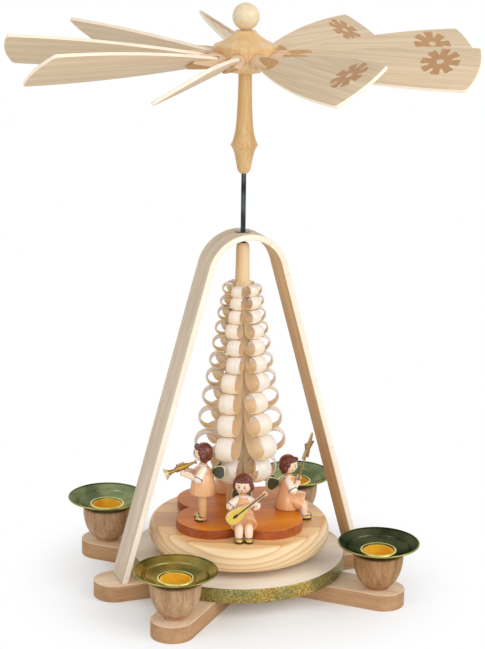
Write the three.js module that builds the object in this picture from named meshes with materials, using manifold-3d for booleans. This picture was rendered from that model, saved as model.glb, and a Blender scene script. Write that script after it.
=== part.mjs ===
// A wooden Christmas pyramid: four candle cups on crossed bars warm the air, the air turns a
// nine-bladed fan, and the fan's spindle turns a round stage with a shaved tree and four angels.
// Millimetres, +Z up. The origin is on the table, under the spindle. +X runs along the arch.
import * as THREE from "three";
import { mergeVertices } from "three/addons/utils/BufferGeometryUtils.js";
import Module from "manifold-3d";

// Clearances
const FIT = 0.3; // round a piece that is glued or seated in another
const SLOT_FIT = 0.15; // each side of a blade in its sawn slot
const RUN = 0.35; // round a pin or rod that turns
const PAST = 1; // how far a cut runs past the face that it opens

// Crossed bars and the arms under the arch
const ARM_WIDTH = 21;
const ARM_THICK = 8.5;
const CANDLE_REACH = 88; // centre to the round end of a candle arm
const ARCH_REACH = 76; // centre to the round end of an arch arm
const CANDLE_ANGLE = 45; // degrees from the arch to a candle arm

// Base disc
const DISC_RADIUS = 53.3;
const DISC_THICK = 7.4;
const DISC_EDGE = 0.6; // broken edge

// Bearing under the spindle
const BEARING_RADIUS = 4.5;
const BEARING_DEPTH = 4; // let into the disc
const BEARING_PROUD = 1;
const BEARING_MOUTH = 3;
const BEARING_FLOOR = 0.7; // radius at the bottom of the cone
const BEARING_CONE = 3.6;
const NEEDLE_RADIUS = 1.1;
const NEEDLE_TIP = 0.3;
const NEEDLE_CONE = 2.6;
const NEEDLE_SUNK = 5.5; // length inside the stage

// Bent arch
const ARCH_TOP = 179.5;
const ARCH_CROWN = 21; // outer radius of the bend
const ARCH_LEAN = 15.8; // degrees between a leg and the vertical
const BAND_WIDTH = 16.35;
const BAND_THICK = 2.9;
const FOOT_DEPTH = 6; // of a foot in its mortise

// Bushing that guides the spindle
const BUSH_FLANGE = 3.9;
const BUSH_BARREL = 2.4;
const BUSH_FLAT = 0.5; // spot face on the bend
const BUSH_LIP = 0.8;
const ROD_RADIUS = 1.2;

// Candle cups and drip plates
const CUP_CENTRE = 74.4; // from the spindle
const CUP_RADIUS = 12.4;
const CUP_FOOT = 6.2;
const CUP_FOOT_HEIGHT = 1.2;
const CUP_FOOT_TAPER = 0.6;
const CUP_HEIGHT = 18; // above its arm
const CANDLE_RADIUS = 7;
const BRASS = 0.6; // wall
const TUBE_DEPTH = 13;
const PLATE_RADIUS = 20;
const PLATE_RISE = 4.6; // rim above the groove round the tube
const PLATE_CURVE = 1.25; // power of the dish's rise: 1 is a straight cone
const GROOVE_RADIUS = 9.8;
const BEAD_RADIUS = 8.2;
const BEAD_RISE = 0.6;

// Stage that turns
const STAGE_CLEAR = 3.7; // over the base disc
const STAGE_THICK = 12.9;
const STAGE_RADIUS = 45.2;
const STAGE_BELLY = 6; // widest line below the top
const STAGE_TOP_IN = 3.2; // top face edge inside the widest line
const STAGE_UNDER_IN = 5.2;
const LOBE_CENTRE = 19.3;
const LOBE_RADIUS = 17.7;
const LOBE_FIRST = 24; // degrees
const LOBE_COUNT = 4;
const PLINTH_THICK = 5;

// Shaved tree
const TENON_RADIUS = 5;
const TENON_SUNK = 5; // into the stage
const TRUNK_FOOT = 6.9;
const TRUNK_TIP = 2.5;
const TRUNK_CLEAR = 2.6; // under the bend
const TRUNK_ROUND = 1.4; // rounding at the very top
const ROD_SUNK = 9; // rod into the trunk and into the fan shaft
const COLUMNS = 6;
const COLUMN_FIRST = -71.8; // degrees
const SHAVING = 0.5; // thickness
const TREE_FOOT = 17; // bare trunk under the lowest tier
const TREE_NECK = 18; // bare trunk over the highest tier
const TIERS = 11;
const TIER_LOW_HEIGHT = 12.2;
const TIER_HIGH_HEIGHT = 5.9;
const TIER_GAP = 0.45;
const TREE_RADIUS_LOW = 22.8;
const SKIRT_RADIUS = 18.2; // lowest tier, drawn in behind the angels' heads
const TREE_RADIUS_HIGH = 9.4;
const SHAVING_LOW = 8.7; // width of a shaving in the lowest tier
const SHAVING_HIGH = 5;
const SHAVING_ROOT = 1; // how deep a shaving's stem starts in the trunk
const RING_START = 218; // degrees: where the stem runs into the ring
const RING_END = 505;
const RING_STEPS = 5;
const RING_SHRINK = 0.12; // the roll tightens by this share

// Fan
const DOWEL_UP = 6.4; // the dowels' axis over the hub's foot
const BLADES = 9;
const BLADE_FIRST = -47.3; // degrees
const BLADE_PITCH = 32; // degrees
const BLADE_THICK = 1.7;
const BLADE_ROOT = 17; // from the spindle
const ROOT_HALF = 2.6;
const TRAIL_REACH = 110.8; // trailing corner of the tip, from the spindle
const TRAIL_SIDE = 18.8; // and from the blade's own axis
const LEAD_REACH = 113.2;
const LEAD_SIDE = -11.1;
const EDGE_BULGE = 7; // of the long edges, at their middle control point
const TIP_BULGE = 3.4;
const CORNER = 3;
const DOWEL_RADIUS = 3.55;
const DOWEL_START = 11.35;
const DOWEL_TAPER = 24; // where the chisel end begins
const DOWEL_END = 33;
const PEG_RADIUS = 1.9;
const PEG_START = 7;
const HUB_HEIGHT = 19.7;
const HUB_NECK = 4.8;
const HUB_RIM = 15.1;
const HUB_RIM_UP = 12.6; // over the hub's foot
const HUB_LOW_RADIUS = 7.3;
const HUB_FOOT = 1.2; // straight foot under the bowl
const HUB_EDGE = 0.6; // under the rim
const HUB_LIP = 0.5; // over the rim
const SHAFT_CLEAR = 28.7; // bare rod over the arch
const SHAFT_LENGTH = 48.2; // up to the hub
// Turned shape of the shaft: radius and height above its lower end
const SHAFT_BEADS = [
  [2.3, 0],
  [3.3, 2.4],
  [4.2, 6.6],
  [5.1, 10.6],
  [6.6, 13.6],
  [5.3, 16.6],
  [4.3, 20.5],
  [3.8, 27],
];
const SHAFT_SUNK = 9; // into the hub
const SHAFT_NECK = 3.2;
const BALL_RADIUS = 6.46;
const BALL_SUNK = 0.35; // flat under the ball
const BALL_PEG = 1.5;
const BALL_PEG_LENGTH = 5;

// Angels, from the floor that each stands or sits on
const HEAD_RADIUS = 4.4;
const HEAD_AHEAD = 0.4; // of the neck
const HAIR = 0.2; // over the head
const HAIR_BACK = 0.7; // back and up from the face
const NECK_RADIUS = 1.5;
const NECK_LENGTH = 1;
const NECK_SLOPE = 0.9; // from the shoulders up to the neck
const STANDING_NECK = 29;
const STANDING_HEM = 12;
const HEM_RADIUS = 6;
const SEATED_NECK = 17.2;
const SEAT_RADIUS = 5.2;
const WAIST_RADIUS = 4.7;
const WAIST_DROP = 9.6; // below the neck, as the next drops are
const CHEST_RADIUS = 3.6;
const CHEST_DROP = 4;
const SHOULDER_OUT = 3;
const SHOULDER_DROP = 3.1;
const ELBOW_AHEAD = 3;
const ELBOW_OUT = 5.2;
const ELBOW_DROP = 6.7;
const SLEEVE_RADIUS = 1.5;
const CUFF_RADIUS = 1.8;
const WRIST_RADIUS = 1.1;
const HAND_RADIUS = 1.3;
const LEG_RADIUS = 1.7;
const LEG_OUT = 2.2;
const LEG_SUNK = 1; // into the gown
const SHOE_LENGTH = 5.4;
const SHOE_HALF = 1.9;
const SHOE_HEIGHT = 2;
const SHOE_ROUND = 1.4; // radius of a shoe's round top
const SHOE_AHEAD = 1; // of the leg
const HIP_HEIGHT = 5;
const HIP_RADIUS = 4.4;
const KNEE_AHEAD = 8.4;
const KNEE_HEIGHT = 3.4;
const LAP_RADIUS = 5.4;
const SHIN_TOP = 1.9;
const SHIN_BEHIND = 1; // the knee's hem
const SHIN_SLOPE = 2.2; // foot ahead of the knee's hem
const WING_SPAN = 6.6;
const WING_HEIGHT = 9.5;
const WING_ROOT = 1.5; // half height where the wings meet
const WING_THICK = 1;
const WING_DROP = 4.6;
const WING_SWEEP = 30; // degrees back from the gown

// What the angels hold
const TRUMPET_LENGTH = 16.6;
const TRUMPET_TUBE = 0.6;
const TRUMPET_MOUTH = 1;
const TRUMPET_VALVES = 1.5;
const TRUMPET_BELL = 3;
const FLUTE_LENGTH = 15;
const FLUTE_RADIUS = 0.75;
const MANDOLIN_LENGTH = 24;
const MANDOLIN_BOWL = 12.5; // length of the bowl
const MANDOLIN_HALF = 3.7;
const MANDOLIN_DEEP = 2.2;
const MANDOLIN_NECK = 0.7; // half width
const MANDOLIN_PEGS = 1.3; // half width of the peg box
const MANDOLIN_PEG_LENGTH = 2;
const STAR_POINTS = 5;
const STAR_RADIUS = 7.6;
const STAR_INNER = 3.2;
const STAR_THICK = 1.2;
const POLE_RADIUS = 0.6;
const POLE_LENGTH = 20;

const ANGELS = [
  { name: "trumpet", stands: true, radius: 24.5, angle: -158.8, facing: 165 },
  { name: "mandolin", stands: false, radius: 25.2, angle: -107.5, facing: -107.5 },
  { name: "star", stands: false, radius: 24.2, angle: -19, facing: -25 },
  { name: "flute", stands: false, radius: 24.6, angle: 85, facing: 58 },
];

// Heights and places that follow
const DISC_TOP = ARM_THICK + DISC_THICK;
const BEARING_TOP = DISC_TOP + BEARING_PROUD;
const STAGE_BOTTOM = DISC_TOP + STAGE_CLEAR;
const STAGE_TOP = STAGE_BOTTOM + STAGE_THICK;
const PLINTH_TOP = STAGE_TOP + PLINTH_THICK;
const TRUNK_TOP = ARCH_TOP - BAND_THICK - TRUNK_CLEAR;
const TREE_LOW = PLINTH_TOP + TREE_FOOT;
const TREE_HIGH = TRUNK_TOP - TREE_NECK;
const SHAFT_BOTTOM = ARCH_TOP + SHAFT_CLEAR;
const HUB_BOTTOM = SHAFT_BOTTOM + SHAFT_LENGTH;
const HUB_TOP = HUB_BOTTOM + HUB_HEIGHT;
const FAN_HEIGHT = HUB_BOTTOM + DOWEL_UP;
const CUP_TOP = ARM_THICK + CUP_HEIGHT;
const GROOVE_HEIGHT = CUP_TOP + FIT + BRASS;
const HALF_WIDTH = ARM_WIDTH / 2;
const LEAN = THREE.MathUtils.degToRad(ARCH_LEAN);
const PITCH = THREE.MathUtils.degToRad(BLADE_PITCH);

const wasm = await Module();
wasm.setup();

const rad = THREE.MathUtils.degToRad;

// Finishes
function finish(color, roughness, metalness = 0) {
  return new THREE.MeshStandardMaterial({ color, roughness, metalness });
}
const palewood = finish("#e0c8aa", 0.7);
const honeywood = finish("#e8c796", 0.6);
const beech = finish("#dcb58c", 0.65);
const archwood = finish("#d8c8b4", 0.7);
const cupwood = finish("#b89a7c", 0.7);
const pine = finish("#e9c48d", 0.55);
const stained = finish("#c86f20", 0.5);
const shaved = finish("#f0cfa4", 0.6);
const brass = finish("#b59a35", 0.25, 1);
const steel = finish("#3a3c3e", 0.35, 1);
const blackened = finish("#262626", 0.45);
const porcelain = finish("#e8e6e0", 0.3);
const dress = finish("#c9935e", 0.5);
const hair = finish("#5e2420", 0.3);
const wing = finish("#3f4526", 0.4);
const gilt = finish("#c9a02c", 0.3, 0.6);

// Solids: a closed geometry becomes a manifold solid, facing out, and back again.
function solid(geometry) {
  const bare = new THREE.BufferGeometry();
  bare.setAttribute("position", geometry.getAttribute("position"));
  if (geometry.index) bare.setIndex(geometry.index);
  const merged = mergeVertices(bare, 1e-4);
  const corners = merged.index.array;
  const kept = [];
  for (let i = 0; i < corners.length; i += 3) {
    const [a, b, c] = [corners[i], corners[i + 1], corners[i + 2]];
    if (a !== b && b !== c && a !== c) kept.push(a, b, c);
  }
  const build = (triVerts) =>
    new wasm.Manifold(
      new wasm.Mesh({
        numProp: 3,
        vertProperties: new Float32Array(merged.attributes.position.array),
        triVerts,
      }),
    );
  const made = build(new Uint32Array(kept));
  if (made.volume() > 0) return made;
  for (let i = 0; i < kept.length; i += 3) [kept[i], kept[i + 1]] = [kept[i + 1], kept[i]];
  return build(new Uint32Array(kept));
}

function geometryOf(made) {
  const mesh = made.getMesh();
  const stride = mesh.numProp;
  const place = new Float32Array(mesh.numVert * 3);
  for (let i = 0; i < mesh.numVert; i++) {
    place.set(mesh.vertProperties.subarray(i * stride, i * stride + 3), i * 3);
  }
  const geometry = new THREE.BufferGeometry();
  geometry.setAttribute("position", new THREE.BufferAttribute(place, 3));
  geometry.setIndex(new THREE.BufferAttribute(new Uint32Array(mesh.triVerts), 1));
  geometry.computeVertexNormals();
  return geometry;
}

function join(...solids) {
  return wasm.Manifold.union(solids);
}

function cut(body, ...tools) {
  return body.subtract(join(...tools));
}

// Shapes
const v2 = (x, y) => new THREE.Vector2(x, y);

// A turned piece round +Z: pairs of radius and height.
function turned(profile, segments = 24) {
  const points = profile.map(([r, z]) => v2(r, z));
  return solid(new THREE.LatheGeometry(points, segments).rotateX(Math.PI / 2));
}

function rod(radius, low, high, segments = 12) {
  return turned([[0, low], [radius, low], [radius, high], [0, high]], segments);
}

// Points on a quarter ellipse from angle a to angle b, in degrees.
function bend(centre, radii, a, b, steps) {
  return Array.from({ length: steps + 1 }, (_, i) => {
    const t = rad(a + ((b - a) * i) / steps);
    return [centre[0] + radii[0] * Math.cos(t), centre[1] + radii[1] * Math.sin(t)];
  });
}

// An outline in the plane of X and Y, raised along Z between two heights.
function raised(shape, low, high, curveSegments = 12) {
  const geometry = new THREE.ExtrudeGeometry(shape, {
    depth: high - low,
    bevelEnabled: false,
    curveSegments,
  });
  return solid(geometry.translate(0, 0, low));
}

// An outline in the plane of X and Z, with its thickness centred on Y.
function upright(shape, width, curveSegments = 12) {
  const geometry = new THREE.ExtrudeGeometry(shape, {
    depth: width,
    bevelEnabled: false,
    curveSegments,
  });
  return solid(geometry.translate(0, 0, -width / 2).rotateX(Math.PI / 2));
}

function polygon(points) {
  return new THREE.Shape(points.map(([x, y]) => v2(x, y)));
}

function block(low, high) {
  const size = high.map((h, i) => h - low[i]);
  const centre = high.map((h, i) => (h + low[i]) / 2);
  return solid(new THREE.BoxGeometry(...size).translate(...centre));
}

// A solid whose own +Z points along a direction from a start point.
function aimed(made, start, direction) {
  const turn = new THREE.Quaternion().setFromUnitVectors(
    new THREE.Vector3(0, 0, 1),
    new THREE.Vector3(...direction).normalize(),
  );
  const matrix = new THREE.Matrix4().makeRotationFromQuaternion(turn).setPosition(...start);
  return made.transform(matrix.elements);
}

// A round limb between two points.
function limb(from, to, r1, r2 = r1, segments = 6) {
  const way = to.map((t, i) => t - from[i]);
  const length = Math.hypot(...way);
  return aimed(turned([[0, 0], [r1, 0], [r2, length], [0, length]], segments), from, way);
}

function ball(centre, radii, across = 10, up = 7) {
  const geometry = new THREE.SphereGeometry(1, across, up).rotateX(Math.PI / 2);
  return solid(geometry.scale(...radii).translate(...centre));
}

const root = new THREE.Group();

function piece(parent, name, made, material) {
  const mesh = new THREE.Mesh(geometryOf(made), material);
  mesh.name = name;
  parent.add(mesh);
  return mesh;
}

function turnedGroup(parent, degrees) {
  const group = new THREE.Group();
  group.rotation.z = rad(degrees);
  parent.add(group);
  return group;
}

// Crossed bars: two long bars halved into each other, each with full-round ends.
function barOutline(reach) {
  const shape = new THREE.Shape();
  const straight = reach - HALF_WIDTH;
  shape.absarc(straight, 0, HALF_WIDTH, -Math.PI / 2, Math.PI / 2, false);
  shape.absarc(-straight, 0, HALF_WIDTH, Math.PI / 2, (3 * Math.PI) / 2, false);
  return shape;
}

function candleBar(lapLow, lapHigh) {
  const bar = raised(barOutline(CANDLE_REACH), 0, ARM_THICK, 8);
  const half = HALF_WIDTH + FIT / 2;
  return cut(bar, block([-half, -ARM_WIDTH, lapLow], [half, ARM_WIDTH, lapHigh]));
}

const lap = ARM_THICK / 2;
const lowerBar = turnedGroup(root, CANDLE_ANGLE);
piece(lowerBar, "candle_bar_lower", candleBar(lap - FIT / 2, ARM_THICK + PAST), beech);
const upperBar = turnedGroup(root, -CANDLE_ANGLE);
piece(upperBar, "candle_bar_upper", candleBar(-PAST, lap + FIT / 2), beech);

// A leg of the arch as an outline between its outer and inner faces, grown by a clearance.
const crownHeight = ARCH_TOP - ARCH_CROWN;

function legPoint(offset, height) {
  const radius = ARCH_CROWN - offset;
  const x = radius * Math.cos(LEAN);
  const z = crownHeight + radius * Math.sin(LEAN);
  return [x + (z - height) * Math.tan(LEAN), height];
}

function legOutline(clear, low, high) {
  return polygon([
    legPoint(-clear, low),
    legPoint(-clear, high),
    legPoint(BAND_THICK + clear, high),
    legPoint(BAND_THICK + clear, low),
  ]);
}

// Arch arms: pointed where they meet the cross, round outside, with a slanting mortise.
const armNose = HALF_WIDTH * Math.SQRT2 + FIT;

function archArm() {
  const shape = new THREE.Shape();
  shape.moveTo(armNose, 0);
  shape.lineTo(armNose + HALF_WIDTH, -HALF_WIDTH);
  shape.absarc(ARCH_REACH - HALF_WIDTH, 0, HALF_WIDTH, -Math.PI / 2, Math.PI / 2, false);
  shape.lineTo(armNose + HALF_WIDTH, HALF_WIDTH);
  const arm = raised(shape, 0, ARM_THICK, 8);
  const mortise = legOutline(FIT, ARM_THICK - FOOT_DEPTH - FIT, ARM_THICK + PAST);
  return cut(arm, upright(mortise, BAND_WIDTH + 2 * FIT));
}

piece(root, "arch_arm_right", archArm(), beech);
piece(turnedGroup(root, 180), "arch_arm_left", archArm(), beech);

// Base disc, with the bearing let into its top.
const bearingSeat = DISC_TOP - BEARING_DEPTH;
piece(
  root,
  "base_disc",
  turned(
    [
      [0, ARM_THICK],
      [DISC_RADIUS - DISC_EDGE, ARM_THICK],
      [DISC_RADIUS, ARM_THICK + DISC_EDGE],
      [DISC_RADIUS, DISC_TOP - DISC_EDGE],
      [DISC_RADIUS - DISC_EDGE, DISC_TOP],
      [BEARING_RADIUS + FIT, DISC_TOP],
      [BEARING_RADIUS + FIT, bearingSeat],
      [0, bearingSeat],
    ],
    36,
  ),
  palewood,
);

const coneFloor = BEARING_TOP - BEARING_CONE;
piece(
  root,
  "bearing_cup",
  turned(
    [
      [0, bearingSeat],
      [BEARING_RADIUS, bearingSeat],
      [BEARING_RADIUS, BEARING_TOP],
      [BEARING_MOUTH, BEARING_TOP],
      [BEARING_FLOOR, coneFloor],
      [0, coneFloor],
    ],
    14,
  ),
  porcelain,
);

// Arch: one strip bent over a form, both feet in the arms, drilled and spot-faced at the top.
function archBand() {
  const low = ARM_THICK - FOOT_DEPTH;
  const shape = new THREE.Shape();
  const foot = legPoint(0, low);
  const inner = legPoint(BAND_THICK, low);
  shape.moveTo(foot[0], low);
  shape.absarc(0, crownHeight, ARCH_CROWN, LEAN, Math.PI - LEAN, false);
  shape.lineTo(-foot[0], low);
  shape.lineTo(-inner[0], low);
  shape.absarc(0, crownHeight, ARCH_CROWN - BAND_THICK, Math.PI - LEAN, LEAN, true);
  shape.lineTo(inner[0], low);
  const spot = ARCH_TOP - BUSH_FLAT;
  return cut(
    upright(shape, BAND_WIDTH, 16),
    rod(BUSH_BARREL + FIT, ARCH_TOP - ARCH_CROWN, ARCH_TOP + PAST, 14),
    rod(BUSH_FLANGE + FIT, spot, ARCH_TOP + PAST, 14),
  );
}

piece(root, "arch_band", archBand(), archwood);

const bushSeat = ARCH_TOP - BUSH_FLAT;
const bushBottom = ARCH_TOP - BAND_THICK - BUSH_FLAT;
piece(
  root,
  "arch_bushing",
  turned(
    [
      [ROD_RADIUS + RUN, bushBottom],
      [BUSH_BARREL, bushBottom],
      [BUSH_BARREL, bushSeat],
      [BUSH_FLANGE, bushSeat],
      [BUSH_FLANGE, bushSeat + BUSH_LIP / 2],
      [BUSH_FLANGE - BUSH_LIP / 2, bushSeat + BUSH_LIP],
      [ROD_RADIUS + RUN, bushSeat + BUSH_LIP],
      [ROD_RADIUS + RUN, bushBottom],
    ],
    14,
  ),
  blackened,
);

// Candle cups with their brass drip plates.
const tubeRadius = CANDLE_RADIUS + BRASS;
const tubeFloor = GROOVE_HEIGHT - TUBE_DEPTH;

function candleCup() {
  const bowl = [CUP_RADIUS - CUP_FOOT, CUP_HEIGHT - CUP_FOOT_HEIGHT];
  return turned(
    [
      [0, ARM_THICK],
      [CUP_FOOT - CUP_FOOT_TAPER, ARM_THICK],
      ...bend([CUP_FOOT, CUP_TOP], bowl, -90, 0, 4),
      [tubeRadius + FIT, CUP_TOP],
      [tubeRadius + FIT, tubeFloor - BRASS - FIT],
      [0, tubeFloor - BRASS - FIT],
    ],
    16,
  );
}

// The plate's dish, as radius and height of its upper face.
function dish(steps) {
  const run = PLATE_RADIUS - GROOVE_RADIUS;
  return Array.from({ length: steps + 1 }, (_, i) => {
    const t = i / steps;
    return [GROOVE_RADIUS + run * t, GROOVE_HEIGHT + PLATE_RISE * t ** PLATE_CURVE];
  });
}

function dripPlate() {
  const top = dish(2);
  const under = top.map(([r, z]) => [r, z - BRASS]).reverse();
  return turned(
    [
      [0, tubeFloor],
      [CANDLE_RADIUS, tubeFloor],
      [CANDLE_RADIUS, GROOVE_HEIGHT + BEAD_RISE / 2],
      [BEAD_RADIUS - BRASS / 2, GROOVE_HEIGHT + BEAD_RISE],
      [BEAD_RADIUS + BRASS / 2, GROOVE_HEIGHT + BEAD_RISE / 2],
      ...top,
      ...under,
      [tubeRadius, GROOVE_HEIGHT - BRASS],
      [tubeRadius, tubeFloor - BRASS],
      [0, tubeFloor - BRASS],
    ],
    18,
  );
}

const corners = ["right_back", "left_back", "left_front", "right_front"];
corners.forEach((corner, i) => {
  const place = new THREE.Group();
  place.position.set(CUP_CENTRE, 0, 0);
  turnedGroup(root, CANDLE_ANGLE + 90 * i).add(place);
  piece(place, `candle_cup_${corner}`, candleCup(), cupwood);
  piece(place, `drip_plate_${corner}`, dripPlate(), brass);
});

// Stage: a thick turned board with a full belly, a socket for the tree and a hole for the needle.
const needleRoof = STAGE_BOTTOM + NEEDLE_SUNK;
const tenonFloor = STAGE_TOP - TENON_SUNK;
const belly = STAGE_TOP - STAGE_BELLY;
piece(
  root,
  "stage",
  turned(
    [
      [0, needleRoof],
      [NEEDLE_RADIUS + FIT, needleRoof],
      [NEEDLE_RADIUS + FIT, STAGE_BOTTOM],
      ...bend(
        [STAGE_RADIUS - STAGE_UNDER_IN, belly],
        [STAGE_UNDER_IN, belly - STAGE_BOTTOM],
        -90,
        0,
        3,
      ),
      ...bend([STAGE_RADIUS - STAGE_TOP_IN, belly], [STAGE_TOP_IN, STAGE_BELLY], 30, 90, 2),
      [TENON_RADIUS + FIT, STAGE_TOP],
      [TENON_RADIUS + FIT, tenonFloor],
      [0, tenonFloor],
    ],
    36,
  ),
  pine,
);

const needlePoint = coneFloor + FIT;
piece(
  root,
  "pivot_needle",
  turned(
    [
      [0, needlePoint],
      [NEEDLE_TIP, needlePoint],
      [NEEDLE_RADIUS, needlePoint + NEEDLE_CONE],
      [NEEDLE_RADIUS, needleRoof - FIT],
      [0, needleRoof - FIT],
    ],
    10,
  ),
  steel,
);

// Plinth: a clover of four lobes round the trunk.
function plinth() {
  const step = (2 * Math.PI) / LOBE_COUNT;
  const chord = LOBE_CENTRE * Math.sin(step / 2);
  const half = Math.PI - Math.acos(chord / LOBE_RADIUS) - (Math.PI / 2 - step / 2);
  const shape = new THREE.Shape();
  for (let i = 0; i < LOBE_COUNT; i++) {
    const a = rad(LOBE_FIRST) + step * i;
    const [x, y] = [LOBE_CENTRE * Math.cos(a), LOBE_CENTRE * Math.sin(a)];
    shape.absarc(x, y, LOBE_RADIUS, a - half, a + half, false);
  }
  const hole = new THREE.Path();
  hole.absarc(0, 0, TENON_RADIUS + FIT, 0, 2 * Math.PI, true);
  shape.holes.push(hole);
  return raised(shape, STAGE_TOP, PLINTH_TOP, 11);
}

piece(root, "plinth", plinth(), stained);

// Tree: a turned trunk with columns of shavings, each cut down from the trunk and rolled up.
function trunkRadius(z) {
  const t = (z - PLINTH_TOP) / (TRUNK_TOP - PLINTH_TOP);
  return TRUNK_FOOT + (TRUNK_TIP - TRUNK_FOOT) * t;
}

// A ribbon along points of radius and height, with a half width at each point. Its section is
// a low triangle: a shaving off a round trunk is thickest along its middle.
function ribbon(path, halves, thick) {
  const corner = [];
  const faces = [];
  path.forEach(([r, z], i) => {
    const before = path[Math.max(i - 1, 0)];
    const after = path[Math.min(i + 1, path.length - 1)];
    const length = Math.hypot(after[0] - before[0], after[1] - before[1]);
    const nr = ((after[1] - before[1]) / length) * (thick / 2);
    const nz = (-(after[0] - before[0]) / length) * (thick / 2);
    const h = halves[i];
    corner.push(r - nr, -h, z - nz, r + nr, 0, z + nz, r - nr, h, z - nz);
  });
  const SIDES = 3;
  const quad = (a, b, c, d) => faces.push(a, b, c, a, c, d);
  for (let i = 0; i < path.length - 1; i++) {
    const here = SIDES * i;
    for (let k = 0; k < SIDES; k++) {
      const n = (k + 1) % SIDES;
      quad(here + k, here + n, here + SIDES + n, here + SIDES + k);
    }
  }
  faces.push(2, 1, 0);
  const last = SIDES * (path.length - 1);
  faces.push(last, last + 1, last + 2);
  const geometry = new THREE.BufferGeometry();
  geometry.setAttribute("position", new THREE.Float32BufferAttribute(corner, 3));
  geometry.setIndex(faces);
  return solid(geometry);
}

// Tiers from the lowest up: heights shrink in equal ratio and fill the tree from low to high.
function tiers() {
  const ratio = (TIER_HIGH_HEIGHT / TIER_LOW_HEIGHT) ** (1 / (TIERS - 1));
  const heights = Array.from({ length: TIERS }, (_, i) => ratio ** i);
  const scale = (TREE_HIGH - TREE_LOW) / heights.reduce((a, b) => a + b, 0);
  let low = TREE_LOW;
  return heights.map((h, i) => {
    const high = low + h * scale;
    const t = (low - TREE_LOW) / (TREE_HIGH - TREE_LOW);
    const tier = {
      low,
      high,
      reach: i === 0 ? SKIRT_RADIUS : TREE_RADIUS_LOW + (TREE_RADIUS_HIGH - TREE_RADIUS_LOW) * t,
      width: SHAVING_LOW + (SHAVING_HIGH - SHAVING_LOW) * t,
    };
    low = high;
    return tier;
  });
}

function shaving(tier) {
  const radius = (tier.high - tier.low - TIER_GAP) / 2 - SHAVING / 2;
  const centre = [tier.reach - radius - SHAVING / 2, (tier.low + tier.high) / 2];
  const ring = Array.from({ length: RING_STEPS + 1 }, (_, i) => {
    const t = i / RING_STEPS;
    const a = rad(RING_START + (RING_END - RING_START) * t);
    const r = radius * (1 - RING_SHRINK * t);
    return [centre[0] + r * Math.cos(a), centre[1] + r * Math.sin(a)];
  });
  const rootHeight = tier.high - TIER_GAP;
  const start = [trunkRadius(rootHeight) - SHAVING_ROOT, rootHeight];
  const path = [start, ...ring];
  // Near the trunk a shaving is no wider than its share of the trunk's round.
  const share = Math.tan(Math.PI / COLUMNS);
  const halves = path.map(([r]) => Math.min(tier.width / 2, r * share - SHAVING / 2));
  return ribbon(path, halves, SHAVING);
}

function tree() {
  const floor = tenonFloor + FIT;
  const shoulder = PLINTH_TOP + FIT;
  const carved = turned(
    [
      [0, floor],
      [TENON_RADIUS, floor],
      [TENON_RADIUS, shoulder],
      [TRUNK_FOOT, shoulder],
      [trunkRadius(TREE_HIGH), TREE_HIGH],
      [0, TREE_HIGH],
    ],
    COLUMNS,
  );
  const tip = turned(
    [
      [0, TREE_HIGH],
      [trunkRadius(TREE_HIGH), TREE_HIGH],
      [TRUNK_TIP, TRUNK_TOP - TRUNK_ROUND],
      [TRUNK_TIP - TRUNK_ROUND / 2, TRUNK_TOP],
      [ROD_RADIUS + FIT, TRUNK_TOP],
      [ROD_RADIUS + FIT, TRUNK_TOP - ROD_SUNK],
      [0, TRUNK_TOP - ROD_SUNK],
    ],
    2 * COLUMNS,
  );
  const parts = [carved.rotate([0, 0, COLUMN_FIRST + 180 / COLUMNS]), tip];
  for (const tier of tiers()) {
    const one = shaving(tier);
    for (let k = 0; k < COLUMNS; k++) {
      const degrees = COLUMN_FIRST + (360 / COLUMNS) * k;
      parts.push(one.rotate([0, 0, degrees]));
    }
  }
  return join(...parts);
}

piece(root, "shaving_tree", tree(), shaved);

// Spindle rod and the turned shaft above the arch.
const rodBottom = TRUNK_TOP - ROD_SUNK + FIT;
const rodTop = SHAFT_BOTTOM + ROD_SUNK;
piece(root, "spindle_rod", rod(ROD_RADIUS, rodBottom, rodTop - FIT, 12), steel);

const shaftTop = HUB_BOTTOM + SHAFT_SUNK;
piece(
  root,
  "fan_shaft",
  turned(
    [
      [ROD_RADIUS + FIT, SHAFT_BOTTOM],
      ...SHAFT_BEADS.map(([r, up]) => [r, SHAFT_BOTTOM + up]),
      [SHAFT_NECK, HUB_BOTTOM],
      [SHAFT_NECK, shaftTop],
      [0, shaftTop],
      [0, rodTop],
      [ROD_RADIUS + FIT, rodTop],
      [ROD_RADIUS + FIT, SHAFT_BOTTOM],
    ],
    16,
  ),
  honeywood,
);

// Fan: hub, nine dowels with pegs, and nine blades in the dowels' sawn slots.
const spokes = Array.from({ length: BLADES }, (_, i) => BLADE_FIRST + (360 / BLADES) * i);

// Turned along +X instead of +Z.
function alongX(made) {
  return made.rotate([0, 90, 0]);
}

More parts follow.
